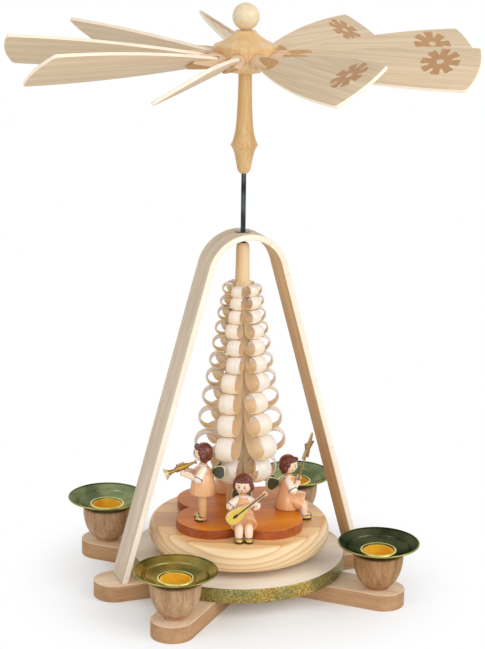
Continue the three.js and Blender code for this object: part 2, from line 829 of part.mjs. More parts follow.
function hub() {
  const rimHeight = HUB_BOTTOM + HUB_RIM_UP;
  const bowlTop = rimHeight - HUB_EDGE;
  const bowl = [HUB_RIM - HUB_LOW_RADIUS, HUB_RIM_UP - HUB_EDGE - HUB_FOOT];
  const cove = [HUB_RIM - HUB_NECK, HUB_HEIGHT - HUB_RIM_UP - HUB_LIP];
  const body = turned(
    [
      [0, shaftTop + FIT],
      [SHAFT_NECK + FIT, shaftTop + FIT],
      [SHAFT_NECK + FIT, HUB_BOTTOM],
      [HUB_LOW_RADIUS, HUB_BOTTOM],
      ...bend([HUB_LOW_RADIUS, bowlTop], bowl, -60, 0, 2),
      [HUB_RIM, rimHeight],
      ...bend([HUB_RIM, HUB_TOP], cove, -105, -170, 3),
      [HUB_NECK, HUB_TOP],
      [BALL_PEG + FIT, HUB_TOP],
      [BALL_PEG + FIT, HUB_TOP - BALL_PEG_LENGTH],
      [0, HUB_TOP - BALL_PEG_LENGTH],
    ],
    16,
  );
  const seat = join(
    rod(PEG_RADIUS + FIT, PEG_START - FIT, DOWEL_START, 6),
    rod(DOWEL_RADIUS + FIT, DOWEL_START - FIT, HUB_RIM + PAST, 10),
  );
  const drill = alongX(seat).translate([0, 0, FAN_HEIGHT]);
  return cut(body, ...spokes.map((degrees) => drill.rotate([0, 0, degrees])));
}

piece(root, "fan_hub", hub(), honeywood);

function dowel() {
  const stick = alongX(
    turned(
      [
        [0, PEG_START],
        [PEG_RADIUS, PEG_START],
        [PEG_RADIUS, DOWEL_START],
        [DOWEL_RADIUS, DOWEL_START],
        [DOWEL_RADIUS, DOWEL_END],
        [0, DOWEL_END],
      ],
      10,
    ),
  );
  const high = 2 * DOWEL_RADIUS;
  const end = DOWEL_END + PAST;
  const slant = polygon([
    [DOWEL_TAPER, DOWEL_RADIUS],
    [end, BLADE_THICK / 2],
    [end, high],
    [DOWEL_TAPER, high],
  ]);
  const bevel = upright(slant, 2 * high);
  const saw = BLADE_THICK / 2 + SLOT_FIT;
  const slot = block([BLADE_ROOT - FIT, -high, -saw], [end, high, saw]);
  return cut(stick, bevel, bevel.mirror([0, 0, 1]), slot);
}

// Blade outline: narrow root, bowed long edges, blunt tip with rounded corners.
function bladeShape() {
  const shape = new THREE.Shape();
  const middle = (u) => (BLADE_ROOT + u) / 2;
  shape.moveTo(BLADE_ROOT, -ROOT_HALF);
  shape.quadraticCurveTo(
    middle(LEAD_REACH),
    (LEAD_SIDE - ROOT_HALF) / 2 - EDGE_BULGE,
    LEAD_REACH - CORNER,
    LEAD_SIDE,
  );
  shape.quadraticCurveTo(LEAD_REACH, LEAD_SIDE, LEAD_REACH + TIP_BULGE / 4, LEAD_SIDE + CORNER);
  shape.quadraticCurveTo(
    Math.max(LEAD_REACH, TRAIL_REACH) + TIP_BULGE,
    (LEAD_SIDE + TRAIL_SIDE) / 2,
    TRAIL_REACH + TIP_BULGE / 4,
    TRAIL_SIDE - CORNER,
  );
  shape.quadraticCurveTo(TRAIL_REACH, TRAIL_SIDE, TRAIL_REACH - CORNER, TRAIL_SIDE);
  shape.quadraticCurveTo(
    middle(TRAIL_REACH),
    (TRAIL_SIDE + ROOT_HALF) / 2 + EDGE_BULGE,
    BLADE_ROOT,
    ROOT_HALF,
  );
  return shape;
}

const blade = raised(bladeShape(), -BLADE_THICK / 2, BLADE_THICK / 2, 4);
const stick = dowel();
spokes.forEach((degrees, i) => {
  const spoke = turnedGroup(root, degrees);
  const pitched = new THREE.Group();
  pitched.position.z = FAN_HEIGHT;
  pitched.rotation.x = PITCH;
  spoke.add(pitched);
  piece(pitched, `blade_dowel_${i + 1}`, stick, honeywood);
  piece(pitched, `fan_blade_${i + 1}`, blade, palewood);
});

// Finial ball, flat where it sits on the neck, with a peg.
const ballFlat = HUB_TOP + FIT;
const ballCentre = ballFlat + BALL_RADIUS - BALL_SUNK;
const flatAngle = (-Math.asin(1 - BALL_SUNK / BALL_RADIUS) * 180) / Math.PI;
piece(
  root,
  "finial_ball",
  turned(
    [
      [0, HUB_TOP - BALL_PEG_LENGTH + FIT],
      [BALL_PEG, HUB_TOP - BALL_PEG_LENGTH + FIT],
      [BALL_PEG, ballFlat],
      ...bend([0, ballCentre], [BALL_RADIUS, BALL_RADIUS], flatAngle, 75, 7),
      [0, ballCentre + BALL_RADIUS],
    ],
    16,
  ),
  honeywood,
);

// Angels. In each figure's own frame +X is where it faces and z 0 is what it stands or sits on.
const side = [-1, 1];

function shoe(x, y, floor) {
  const whole = ball([x, y, floor + SHOE_HEIGHT / 2], [SHOE_LENGTH / 2, SHOE_HALF, SHOE_ROUND], 6, 4);
  const under = [x + SHOE_LENGTH, y + SHOE_LENGTH, floor];
  return cut(whole, block([x - SHOE_LENGTH, y - SHOE_LENGTH, floor - SHOE_LENGTH], under));
}

// Gown from its hem up to the neck.
function gown(hemRadius, hem, neck) {
  return turned(
    [
      [0, hem],
      [hemRadius, hem],
      [WAIST_RADIUS, neck - WAIST_DROP],
      [CHEST_RADIUS, neck - CHEST_DROP],
      [NECK_RADIUS, neck - NECK_SLOPE],
      [NECK_RADIUS, neck + NECK_LENGTH],
      [0, neck + NECK_LENGTH],
    ],
    10,
  );
}

// Sleeve to the elbow, forearm and hand, on one side.
function arm(s, neck, hand) {
  const shoulder = [0, s * SHOULDER_OUT, neck - SHOULDER_DROP];
  const elbow = [ELBOW_AHEAD, s * ELBOW_OUT, neck - ELBOW_DROP];
  return join(
    limb(shoulder, elbow, SLEEVE_RADIUS, CUFF_RADIUS),
    limb(elbow, hand, WRIST_RADIUS, WRIST_RADIUS),
    ball(hand, [HAND_RADIUS, HAND_RADIUS, HAND_RADIUS], 6, 4),
  );
}

function standingBody(hands) {
  const legs = side.flatMap((s) => {
    const y = s * LEG_OUT;
    return [
      limb([0, y, SHOE_HEIGHT / 2], [0, y, STANDING_HEM + LEG_SUNK], LEG_RADIUS),
      shoe(SHOE_AHEAD, y, FIT),
    ];
  });
  const arms = side.map((s, i) => arm(s, STANDING_NECK, hands[i]));
  return join(gown(HEM_RADIUS, STANDING_HEM, STANDING_NECK), ...legs, ...arms);
}

// A seated angel's lap runs forward to the knees, and its feet stand on the stage.
function seatedBody(hands) {
  const lap = limb([0, 0, HIP_HEIGHT], [KNEE_AHEAD, 0, KNEE_HEIGHT], HIP_RADIUS, LAP_RADIUS, 10);
  const reach = KNEE_AHEAD + LAP_RADIUS;
  const flat = cut(lap, block([-reach, -reach, -reach], [reach, reach, FIT]));
  const floor = FIT - PLINTH_THICK;
  const shin = KNEE_AHEAD - SHIN_BEHIND;
  const ankle = KNEE_AHEAD + SHIN_SLOPE;
  const legs = side.flatMap((s) => {
    const y = s * LEG_OUT;
    return [
      limb([shin, y, SHIN_TOP], [ankle, y, floor + SHOE_HEIGHT / 2], LEG_RADIUS),
      shoe(ankle + SHOE_AHEAD, y, floor),
    ];
  });
  const arms = side.map((s, i) => arm(s, SEATED_NECK, hands[i]));
  return join(gown(SEAT_RADIUS, FIT, SEATED_NECK), flat, ...legs, ...arms);
}

// Head with a cap of hair.
function head() {
  const round = (r) => [r, r, r];
  return join(
    ball([0, 0, 0], round(HEAD_RADIUS), 8, 5),
    ball([-HAIR_BACK, 0, HAIR_BACK], round(HEAD_RADIUS + HAIR), 8, 5),
  );
}

// Two wings that meet behind the gown and sweep back.
function wings() {
  const half = WING_HEIGHT / 2;
  const past = -WING_THICK / 2;
  const leaf = new THREE.Shape();
  leaf.moveTo(past, -WING_ROOT);
  leaf.lineTo(0, -WING_ROOT);
  leaf.quadraticCurveTo(WING_SPAN * 0.6, -half, WING_SPAN * 0.75, -half * 0.84);
  leaf.quadraticCurveTo(WING_SPAN * 1.1, 0, WING_SPAN * 0.9, half * 0.9);
  leaf.quadraticCurveTo(WING_SPAN * 0.4, half, 0, WING_ROOT);
  leaf.lineTo(past, WING_ROOT);
  const left = upright(leaf, WING_THICK, 3).rotate([0, 0, 90 + WING_SWEEP]);
  return join(left, left.mirror([0, 1, 0]));
}

// The gown's radius at a height below the neck, between chest and waist.
function gownRadius(drop) {
  const t = (drop - CHEST_DROP) / (WAIST_DROP - CHEST_DROP);
  return CHEST_RADIUS + (WAIST_RADIUS - CHEST_RADIUS) * t;
}

// Instruments, along their own +Z from the mouth, neck or hand.
function trumpet() {
  const at = (share) => TRUMPET_LENGTH * share;
  return turned(
    [
      [0, 0],
      [TRUMPET_MOUTH, 0],
      [TRUMPET_TUBE, TRUMPET_MOUTH],
      [TRUMPET_TUBE, at(0.3)],
      [TRUMPET_VALVES, at(0.36)],
      [TRUMPET_VALVES, at(0.62)],
      [TRUMPET_TUBE, at(0.7)],
      [TRUMPET_MOUTH, at(0.84)],
      [TRUMPET_BELL, at(1)],
      [TRUMPET_BELL - TRUMPET_TUBE, at(1)],
      [0, at(0.84)],
    ],
    8,
  );
}

function flute() {
  return rod(FLUTE_RADIUS, 0, FLUTE_LENGTH, 10);
}

function mandolin() {
  const bowl = new THREE.Shape();
  const middle = MANDOLIN_BOWL * 0.56;
  bowl.moveTo(0, 0);
  bowl.bezierCurveTo(MANDOLIN_HALF * 1.5, 0, MANDOLIN_HALF, middle, MANDOLIN_NECK, MANDOLIN_BOWL);
  bowl.lineTo(-MANDOLIN_NECK, MANDOLIN_BOWL);
  bowl.bezierCurveTo(-MANDOLIN_HALF, middle, -MANDOLIN_HALF * 1.5, 0, 0, 0);
  const back = -MANDOLIN_DEEP / 2;
  const neckLow = MANDOLIN_BOWL - MANDOLIN_PEG_LENGTH;
  const pegsLow = MANDOLIN_LENGTH - MANDOLIN_PEG_LENGTH;
  return join(
    upright(bowl, MANDOLIN_DEEP, 7),
    block([-MANDOLIN_NECK, back, neckLow], [MANDOLIN_NECK, 0, MANDOLIN_LENGTH]),
    block([-MANDOLIN_PEGS, back, pegsLow], [MANDOLIN_PEGS, 0, MANDOLIN_LENGTH]),
  );
}

function starPole() {
  const outline = Array.from({ length: 2 * STAR_POINTS }, (_, i) => {
    const r = i % 2 ? STAR_INNER : STAR_RADIUS;
    const a = Math.PI / 2 + (Math.PI * i) / STAR_POINTS;
    return [r * Math.cos(a), POLE_LENGTH + r * Math.sin(a)];
  });
  const star = upright(polygon(outline), STAR_THICK);
  return join(rod(POLE_RADIUS, 0, POLE_LENGTH, 8), star);
}

function headHeight(neck) {
  return neck + NECK_LENGTH + FIT + HEAD_RADIUS;
}

// A point before an angel's mouth, an angle below level and a gap off the face.
function mouth(neck, below, gap, y) {
  const reach = HEAD_RADIUS + gap;
  const x = HEAD_AHEAD + reach * Math.cos(rad(below));
  return [x, y, headHeight(neck) - reach * Math.sin(rad(below))];
}

// What each angel holds: where it starts, the way it points, its turn round its own length, and
// the right and left hand on it.
const gear = {
  trumpet: {
    node: "trumpet",
    made: trumpet,
    start: mouth(STANDING_NECK, 58, FIT + TRUMPET_TUBE, 0),
    way: [0.93, 0, -0.38],
    roll: 0,
    hands: [[8.2, -2, 25.5], [10.2, 2, 24.7]],
  },
  mandolin: {
    node: "mandolin",
    made: mandolin,
    start: [11.3, -8.4, 6.4],
    way: [-0.12, 0.8, 0.6],
    roll: 90,
    hands: [[5.8, -6.2, 12.2], [6.2, 5.2, 13.8]],
  },
  star: {
    node: "star_pole",
    made: starPole,
    start: [4.8, 0, 12.4],
    way: [0.25, 0.12, 0.96],
    roll: 60,
    hands: [[5.2, -2.1, 14.2], [5.5, 2.7, 15.4]],
  },
  flute: {
    node: "flute",
    made: flute,
    start: mouth(SEATED_NECK, 35, FIT + FLUTE_RADIUS, -2),
    way: [0.1, 1, -0.1],
    roll: 0,
    hands: [[5.5, 4.6, 16.6], [6, 8.6, 16.2]],
  },
};

for (const figure of ANGELS) {
  const turn = turnedGroup(root, figure.angle);
  const place = new THREE.Group();
  place.position.set(figure.radius, 0, PLINTH_TOP);
  place.rotation.z = rad(figure.facing - figure.angle);
  turn.add(place);
  const held = gear[figure.name];
  const tool = aimed(held.made().rotate([0, 0, held.roll]), held.start, held.way);
  const neck = figure.stands ? STANDING_NECK : SEATED_NECK;
  const body = figure.stands ? standingBody(held.hands) : seatedBody(held.hands);
  const headCentre = [HEAD_AHEAD, 0, headHeight(neck)];
  const wingFront = (WING_THICK / 2) * (Math.cos(rad(WING_SWEEP)) + Math.sin(rad(WING_SWEEP)));
  const wingBack = -gownRadius(WING_DROP + WING_ROOT) - FIT - wingFront;
  piece(place, `angel_body_${figure.name}`, body, dress);
  piece(place, `angel_head_${figure.name}`, head().translate(headCentre), hair);
  piece(place, `angel_wings_${figure.name}`, wings().translate([wingBack, 0, neck - WING_DROP]), wing);
  piece(place, held.node, tool, gilt);
}

export default root;
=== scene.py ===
# %% [markdown]
# # A wooden Christmas pyramid
# Four candles warm the air, the air turns a fan of nine pitched blades, and the fan turns a stage
# with a shaved tree and four angel musicians. Nearly every piece of the real object is turned on a
# lathe, sawn from a board or cut with a knife, so this scene is made the same way: profiles that
# are turned, outlines that are raised into boards, and thin ribbons that are rolled up.
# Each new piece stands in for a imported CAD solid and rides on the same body.

# %% Load the frame
import math
import random

import bmesh
import bpy
from mathutils import Matrix, Vector


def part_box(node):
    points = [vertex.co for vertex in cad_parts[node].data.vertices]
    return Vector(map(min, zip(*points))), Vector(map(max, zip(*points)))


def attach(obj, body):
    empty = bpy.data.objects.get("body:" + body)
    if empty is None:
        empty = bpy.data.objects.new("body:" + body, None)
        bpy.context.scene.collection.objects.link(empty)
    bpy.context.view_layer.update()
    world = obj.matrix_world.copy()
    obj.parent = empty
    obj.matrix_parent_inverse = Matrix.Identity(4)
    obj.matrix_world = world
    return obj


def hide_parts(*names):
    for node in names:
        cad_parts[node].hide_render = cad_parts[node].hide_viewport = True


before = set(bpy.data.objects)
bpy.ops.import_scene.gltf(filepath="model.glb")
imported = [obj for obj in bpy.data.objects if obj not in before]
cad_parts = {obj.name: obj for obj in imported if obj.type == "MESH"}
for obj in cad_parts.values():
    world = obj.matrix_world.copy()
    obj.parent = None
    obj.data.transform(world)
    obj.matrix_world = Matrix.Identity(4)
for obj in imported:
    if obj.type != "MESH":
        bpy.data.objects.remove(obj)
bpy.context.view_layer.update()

# %% [markdown]
# Everything below is written in millimetres, as a woodworker would, and becomes metres when a
# mesh is made. Heights and radii come from the CAD solids wherever a solid has that face, so the
# dressed model can't drift away from them.

# %% Sizes read from the frame
MM = 0.001
TURN = 2 * math.pi


def low(node):
    """The least X, Y and Z of a CAD solid."""
    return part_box(node)[0] / MM


def high(node):
    """The greatest X, Y and Z of a CAD solid."""
    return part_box(node)[1] / MM


arm_top = high("candle_bar_upper").z
disc_top = high("base_disc").z
disc_radius = high("base_disc").x
stage_bottom = low("stage").z
stage_top = high("stage").z
stage_radius = high("stage").x
plinth_top = high("plinth").z
arch_top = high("arch_band").z
cup_top = high("candle_cup_right_back").z
hub_bottom = low("fan_hub").z
hub_top = high("fan_hub").z
shaft_bottom = low("fan_shaft").z
trunk_top = high("shaving_tree").z
print("heights in mm:", round(disc_top, 1), round(stage_top, 1), round(arch_top, 1), round(hub_top, 1))

# %% [markdown]
# ## Helpers for shapes
# A shape is a list of points and a list of faces. A turned piece needs only its profile, which is
# how a turner reads a drawing. Corners of a profile are eased by a small arc, because sanded wood
# and spun brass have no sharp corners and the thin highlight along them shows in every picture.


# %% Profiles and turned shapes
def eased(profile, radius=0.4, steps=4):
    """A profile whose corners between its first and last point are rounded off."""
    made = [profile[0]]
    for before, here, after in zip(profile, profile[1:], profile[2:]):
        corner = Vector(here)
        back = Vector(before) - corner
        ahead = Vector(after) - corner
        reach = min(radius, back.length / 2, ahead.length / 2)
        start = corner + back.normalized() * reach
        end = corner + ahead.normalized() * reach
        for i in range(steps + 1):
            t = i / steps
            made.append(tuple(start.lerp(corner, t).lerp(corner.lerp(end, t), t)))
    made.append(profile[-1])
    return made


def through(points, steps=6):
    """A smooth curve through points of two or three numbers."""
    spread = [Vector(points[0]), *map(Vector, points), Vector(points[-1])]
    made = []
    for a, b, c, d in zip(spread, spread[1:], spread[2:], spread[3:]):
        for i in range(steps):
            t = i / steps
            doubled = b * 2 + (c - a) * t + (a * 2 - b * 5 + c * 4 - d) * t**2
            doubled += (b * 3 - a - c * 3 + d) * t**3
            made.append(tuple(doubled / 2))
    made.append(tuple(points[-1]))
    return made


def arc(centre, radii, start, end, steps=16):
    """Points of a circle or an ellipse from one angle to another, in degrees."""
    made = []
    for i in range(steps + 1):
        a = math.radians(start + (end - start) * i / steps)
        made.append((centre[0] + radii[0] * math.cos(a), centre[1] + radii[1] * math.sin(a)))
    return made


def turned(profile, sides=96, closed=False):
    """Turned round +Z from pairs of radius and height, from the axis to the axis or closed."""
    points, faces, rows = [], [], []
    for radius, height in profile:
        count = 1 if radius < 1e-6 else sides
        rows.append([len(points) + i for i in range(count)])
        for i in range(count):
            a = TURN * i / sides
            points.append((radius * math.cos(a), radius * math.sin(a), height))
    if closed:
        rows.append(rows[0])
    for under, over in zip(rows, rows[1:]):
        for i in range(sides):
            j = (i + 1) % sides
            ring = [under[i % len(under)], under[j % len(under)],
                    over[j % len(over)], over[i % len(over)]]
            face = list(dict.fromkeys(ring))  # a triangle where one of the rows is a single point
            if len(face) > 2:
                faces.append(face)
    return points, faces


# %% [markdown]
# A board is an outline raised between two heights, with both edges rounded over. A limb is swept
# along a smooth path, with a radius at each point and round ends.

# %% Boards and blocks
MITRE = 0.4  # at a sharp corner the rounded edge is kept from running in too far


def board(outline, bottom, top, edge=0.4, steps=3):
    """An outline, given anticlockwise, raised from a bottom to a top with its edges rounded."""
    count = len(outline)
    inward = []
    for i in range(count):
        before, here, after = (Vector(outline[(i + k) % count]) for k in (-1, 0, 1))
        a = (here - before).normalized()
        b = (after - here).normalized()
        normal = Vector((-a.y - b.y, a.x + b.x))
        inward.append(normal.normalized() / max(normal.length / 2, MITRE))
    rings = []
    for i in range(steps + 1 if edge else 1):
        t = math.pi / 2 * i / steps
        rings.append((edge * (1 - math.sin(t)), bottom + edge * (1 - math.cos(t))))
    rings += [(inset, bottom + top - z) for inset, z in reversed(rings)]
    points = []
    for inset, z in rings:
        for corner, way in zip(outline, inward):
            points.append((corner[0] + way.x * inset, corner[1] + way.y * inset, z))
    faces = [list(reversed(range(count)))]
    for ring in range(len(rings) - 1):
        for i in range(count):
            j = (i + 1) % count
            a, b = ring * count, (ring + 1) * count
            faces.append([a + i, a + j, b + j, b + i])
    faces.append([(len(rings) - 1) * count + i for i in range(count)])
    return points, faces


def block(corner, opposite):
    """A plain box between two of its corners."""
    (x0, y0, z0), (x1, y1, z1) = corner, opposite
    return board([(x0, y0), (x1, y0), (x1, y1), (x0, y1)], z0, z1, edge=0)


# %% Limbs and balls
END_STEPS = 4
END_FLAT = 0.2  # share of a step by which a round end stops short of a point


def sweep(path, radii, sides=20):
    """A round tube along a path, closed by its own ends."""
    path = [Vector(p) for p in path]
    points, faces = [], []
    side = (path[1] - path[0]).orthogonal().normalized()
    for i, (centre, radius) in enumerate(zip(path, radii)):
        way = (path[min(i + 1, len(path) - 1)] - path[max(i - 1, 0)]).normalized()
        side = (side - way * side.dot(way)).normalized()
        other = way.cross(side)
        for k in range(sides):
            a = TURN * k / sides
            points.append(tuple(centre + (side * math.cos(a) + other * math.sin(a)) * radius))
    for i in range(len(path) - 1):
        for k in range(sides):
            j = (k + 1) % sides
            faces.append([i * sides + k, i * sides + j, (i + 1) * sides + j, (i + 1) * sides + k])
    faces.append(list(reversed(range(sides))))
    faces.append([(len(path) - 1) * sides + k for k in range(sides)])
    return points, faces


def limb(points, radii, steps=5, sides=20):
    """A limb through points, with a round end at each end."""
    made = through([(*p, r) for p, r in zip(points, radii)], steps)
    path = [Vector(m[:3]) for m in made]
    sizes = [m[3] for m in made]
    for end in (0, -1):
        way = (path[end] - path[1 if end == 0 else -2]).normalized()
        radius = sizes[end]
        tip = path[end]
        for k in range(1, END_STEPS + 1):
            a = math.pi / 2 * k / (END_STEPS + END_FLAT)
            spot = tip + way * radius * math.sin(a)
            if end == 0:
                path.insert(0, spot)
                sizes.insert(0, radius * math.cos(a))
            else:
                path.append(spot)
                sizes.append(radius * math.cos(a))
    return sweep(path, sizes, sides)


def ball(centre, radii, sides=32):
    """A ball with its own radius along X, Y and Z."""
    half = sides // 2
    profile = [(math.sin(math.pi * i / half), -math.cos(math.pi * i / half)) for i in range(half + 1)]
    profile[0] = (0, -1)
    profile[-1] = (0, 1)
    points, faces = turned(profile, sides)
    grown = [tuple(c + p * r for c, p, r in zip(centre, point, radii)) for point in points]
    return grown, faces


# %% Moving a shape
def moved(shape, matrix):
    """A shape turned, stretched or put elsewhere by a matrix."""
    points, faces = shape
    return [tuple(matrix @ Vector(p)) for p in points], faces


def upright(shape):
    """Stands a raised outline up: its Y becomes Z."""
    return moved(shape, Matrix.Rotation(math.pi / 2, 4, "X"))


def spin(degrees):
    return Matrix.Rotation(math.radians(degrees), 4, "Z")


def shift(x, y, z):
    return Matrix.Translation((x, y, z))


# %% [markdown]
# ## Making a piece
# A piece is one mesh with one or more finishes. Wood needs to know which way its grain runs, so
# each mesh keeps a "grain" coordinate in millimetres whose first number runs along the fibres. It
# is stored on the points, so the pattern stays in the wood when the fan or the stage turns, and a
# shift along the fibres, worked out from the piece's name, makes every board a different one.

# %% Cutting
def cut_away(obj, cutters):
    """Cuts shapes, given in the piece's own frame, out of a piece."""
    tools = []
    for shape in cutters:
        mesh = bpy.data.meshes.new("cutter")
        mesh.from_pydata([Vector(p) * MM for p in shape[0]], [], shape[1])
        tool = bpy.data.objects.new("cutter", mesh)
        bpy.context.scene.collection.objects.link(tool)
        tool.matrix_world = obj.matrix_world
        change = obj.modifiers.new("cut", "BOOLEAN")
        change.object = tool
        change.operation = "DIFFERENCE"
        change.solver = "EXACT"
        tools.append(tool)
    bpy.context.view_layer.update()
    seen = obj.evaluated_get(bpy.context.evaluated_depsgraph_get())
    whole = obj.data
    obj.data = bpy.data.meshes.new_from_object(seen)
    obj.modifiers.clear()
    bpy.data.meshes.remove(whole)
    for tool in tools:
        bpy.data.meshes.remove(tool.data)


# %% One function that makes, paints and mounts a piece
GRAIN_ORDER = {"x": (0, 1, 2), "z": (2, 0, 1)}  # the number along the fibres comes first
GRAIN_SHIFT = 3.7  # mm for each count in the letters of a name
SHARP = 34  # degrees between two faces from which the edge between them stays crisp


def piece(name, parts, body, node, place=None, cutters=(), along="z", grain=None, paint=None):
    """Makes a piece and mounts it on a body, where it stands in for a CAD node.

    parts pairs shapes with finishes. paint picks a finish for a face's centre and normal. grain
    gives the grain coordinate of a point, or else along names the axis that the fibres follow.
    """
    finishes = list(dict.fromkeys(finish for _, finish in parts))
    solid = bmesh.new()
    for (points, faces), finish in parts:
        corners = [solid.verts.new(Vector(p) * MM) for p in points]
        made = [solid.faces.new([corners[i] for i in face]) for face in faces]
        bmesh.ops.recalc_face_normals(solid, faces=made)
        for face in made:
            face.material_index = finishes.index(finish)
            face.smooth = True
    mesh = bpy.data.meshes.new(name)
    for used in finishes:
        mesh.materials.append(used)
    solid.to_mesh(mesh)
    solid.free()
    obj = bpy.data.objects.new(name, mesh)
    bpy.context.scene.collection.objects.link(obj)
    if place is not None:
        obj.matrix_world = shift(*(place.translation * MM)) @ place.to_3x3().to_4x4()
    if cutters:
        cut_away(obj, cutters)
    mesh = obj.data
    mesh.name = name
    if paint:
        for face in mesh.polygons:
            chosen = paint(face.center / MM, face.normal)
            if chosen:
                if mesh.materials.find(chosen.name) < 0:
                    mesh.materials.append(chosen)
                face.material_index = mesh.materials.find(chosen.name)
    order = GRAIN_ORDER[along]
    apart = sum(ord(letter) for letter in name) * GRAIN_SHIFT
    field = mesh.attributes.new("grain", "FLOAT_VECTOR", "POINT")
    for i, vertex in enumerate(mesh.vertices):
        spot = vertex.co / MM
        spot = grain(spot) if grain else [spot[k] for k in order]
        field.data[i].vector = (spot[0] + apart, spot[1], spot[2])
    mesh.set_sharp_from_angle(angle=math.radians(SHARP))
    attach(obj, body)
    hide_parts(node)
    return obj


# %% [markdown]
# ## Helpers for finishes
# Colours are written as sRGB hex, and one function turns them to the linear values that the
# renderer adds up. Another adds a node with its settings and links.


# %% Colour and node helpers
def linear(colour):
    """Linear red, green, blue and alpha of an sRGB hex colour."""
    made = []
    for i in (1, 3, 5):
        c = int(colour[i : i + 2], 16) / 255
        made.append(c / 12.92 if c <= 0.04045 else ((c + 0.055) / 1.055) ** 2.4)
    return (*made, 1)


def node(tree, kind, inputs=None, **settings):
    """Adds a node. An input is a number, a colour or the output socket it is linked to."""
    made = tree.nodes.new("ShaderNode" + kind)
    for key, value in settings.items():
        setattr(made, key, value)
    for key, value in (inputs or {}).items():
        if isinstance(value, bpy.types.NodeSocket):
            tree.links.new(value, made.inputs[key])
        else:
            made.inputs[key].default_value = value
    return made


def finish(name):
    """An empty material with one surface shader."""
    material = bpy.data.materials.new(name)
    material.use_nodes = True
    tree = material.node_tree
    tree.nodes.clear()
    surface = node(tree, "BsdfPrincipled")
    node(tree, "OutputMaterial", {"Surface": surface.outputs[0]})
    return material, tree, surface


# %% [markdown]
# ## Wood
# Wood is a bundle of fibres: stretched noise draws them, a second and wider noise draws the slow
# change from one growth ring to the next, and a third, very thin one draws the open pores as
# short dark strokes. The same fibres drive a faint bump and the roughness, because the soft part
# of a ring takes less polish. All widths are in millimetres. Fibres are thinner than a hair in
# life and are drawn about 0.5 mm wide, so that they show at this size. A photograph of wood would
# be quicker, but it would repeat, and it couldn't follow a turned or a bent piece.

# %% A wood finish
TONE_DEEP, TONE_PALE = 0.72, 1.26  # sums of the two noises where a wood's two colours are reached
RING_STRETCH = 4  # a ring keeps its tone over this many lengths of a fibre
PORES_FROM, PORES_FULL = 0.64, 0.8  # values of the thin noise where a pore begins and is darkest
PORE_LENGTH, PORE_WIDTH = 2.2, 0.28
PORE_SHADE = 0.55  # an open pore beside the deep tone of its wood
RELIEF = 0.1  # mm, the height that a bump in wood or paint is worked out from
WOOD_IOR = 1.5
# Pores break up the mirror that a smooth solid has at a low angle, so its strength is cut.
WOOD_SHINE = 0.3


def wood(name, pale, deep, fibre=0.5, ring=5.0, length=22.0, pores=0.35, rough=0.5, coat=0.0):
    """fibre, ring and length are in mm. pores is how dark the pores are, from 0 to 1."""
    material, tree, surface = finish(name)
    grain = node(tree, "Attribute", attribute_name="grain").outputs["Vector"]
    fine = node(tree, "Mapping", {"Vector": grain, "Scale": (1 / length, 1 / fibre, 1 / fibre)})
    fibres = node(tree, "TexNoise", {"Vector": fine.outputs[0], "Scale": 1, "Detail": 3})
    slow = (1 / length / RING_STRETCH, 1 / ring, 1 / ring)
    wide = node(tree, "Mapping", {"Vector": grain, "Scale": slow})
    rings = node(tree, "TexNoise", {"Vector": wide.outputs[0], "Scale": 1, "Detail": 2})
    both = node(tree, "Math", {0: fibres.outputs[0], 1: rings.outputs[0]}, operation="ADD")
    share = node(tree, "MapRange", {"Value": both.outputs[0], "From Min": TONE_DEEP,
                                    "From Max": TONE_PALE})
    tone = node(tree, "Mix", {0: share.outputs[0], 6: linear(deep), 7: linear(pale)},
                data_type="RGBA")
    strokes = (1 / PORE_LENGTH, 1 / PORE_WIDTH, 1 / PORE_WIDTH)
    thin = node(tree, "Mapping", {"Vector": grain, "Scale": strokes})
    dots = node(tree, "TexNoise", {"Vector": thin.outputs[0], "Scale": 1, "Detail": 1})
    open_pores = node(tree, "MapRange", {"Value": dots.outputs[0], "From Min": PORES_FROM,
                                         "From Max": PORES_FULL, "To Max": pores})
    dark = tuple(c * PORE_SHADE for c in linear(deep)[:3]) + (1,)
    colour = node(tree, "Mix", {0: open_pores.outputs[0], 6: tone.outputs[2], 7: dark},
                  data_type="RGBA")
    polish = node(tree, "MapRange", {"Value": fibres.outputs[0], "To Min": rough + 0.1,
                                     "To Max": rough - 0.08})
    relief = node(tree, "Bump", {"Height": fibres.outputs[0], "Strength": 0.25,
                                 "Distance": RELIEF * MM})
    tree.links.new(colour.outputs[2], surface.inputs["Base Color"])
    tree.links.new(polish.outputs[0], surface.inputs["Roughness"])
    tree.links.new(relief.outputs[0], surface.inputs["Normal"])
    surface.inputs["IOR"].default_value = WOOD_IOR
    surface.inputs["Specular IOR Level"].default_value = WOOD_SHINE
    surface.inputs["Coat Weight"].default_value = coat
    surface.inputs["Coat Roughness"].default_value = 0.2
    return material


# %% The sawn, planed and bent woods
# Beech: pinkish tan and close-grained, with short dark rays. Planed and left matt.
beech_top = wood("planed_beech", "#EFD6B8", "#DDBB94", fibre=0.6, ring=6, length=14, rough=0.55)
# The darker upright faces are partly painted shade.
shaded_beech_side = wood("sawn_beech_edge_painted_shade", "#C0976F", "#A47B54", fibre=0.5, ring=4, length=14, rough=0.6)
# Maple: the palest of the woods here, almost without figure.
maple = wood("sanded_maple", "#FBF2E6", "#F0E2CE", fibre=0.7, ring=9, length=30, pores=0.15)
# Ash cut to a strip and bent in steam: grey-beige and open-pored outside, warmer and darker
# inside, partly as painted shade, and nearly white along its sawn edges, partly as painted highlight.
ash_outside = wood("steamed_ash_outside", "#E0CFB9", "#C9B499", fibre=0.45, ring=2.2, length=9,
                   pores=0.4, rough=0.8)
shaded_ash_inside = wood("steamed_ash_inside_painted_shade", "#D9B583", "#BE9058", fibre=0.6, ring=4, length=40, rough=0.55)
lit_ash_edge = wood("steamed_ash_edge_painted_highlight", "#F9EFDE", "#ECDCC2", fibre=0.5, ring=2, length=40, rough=0.6)
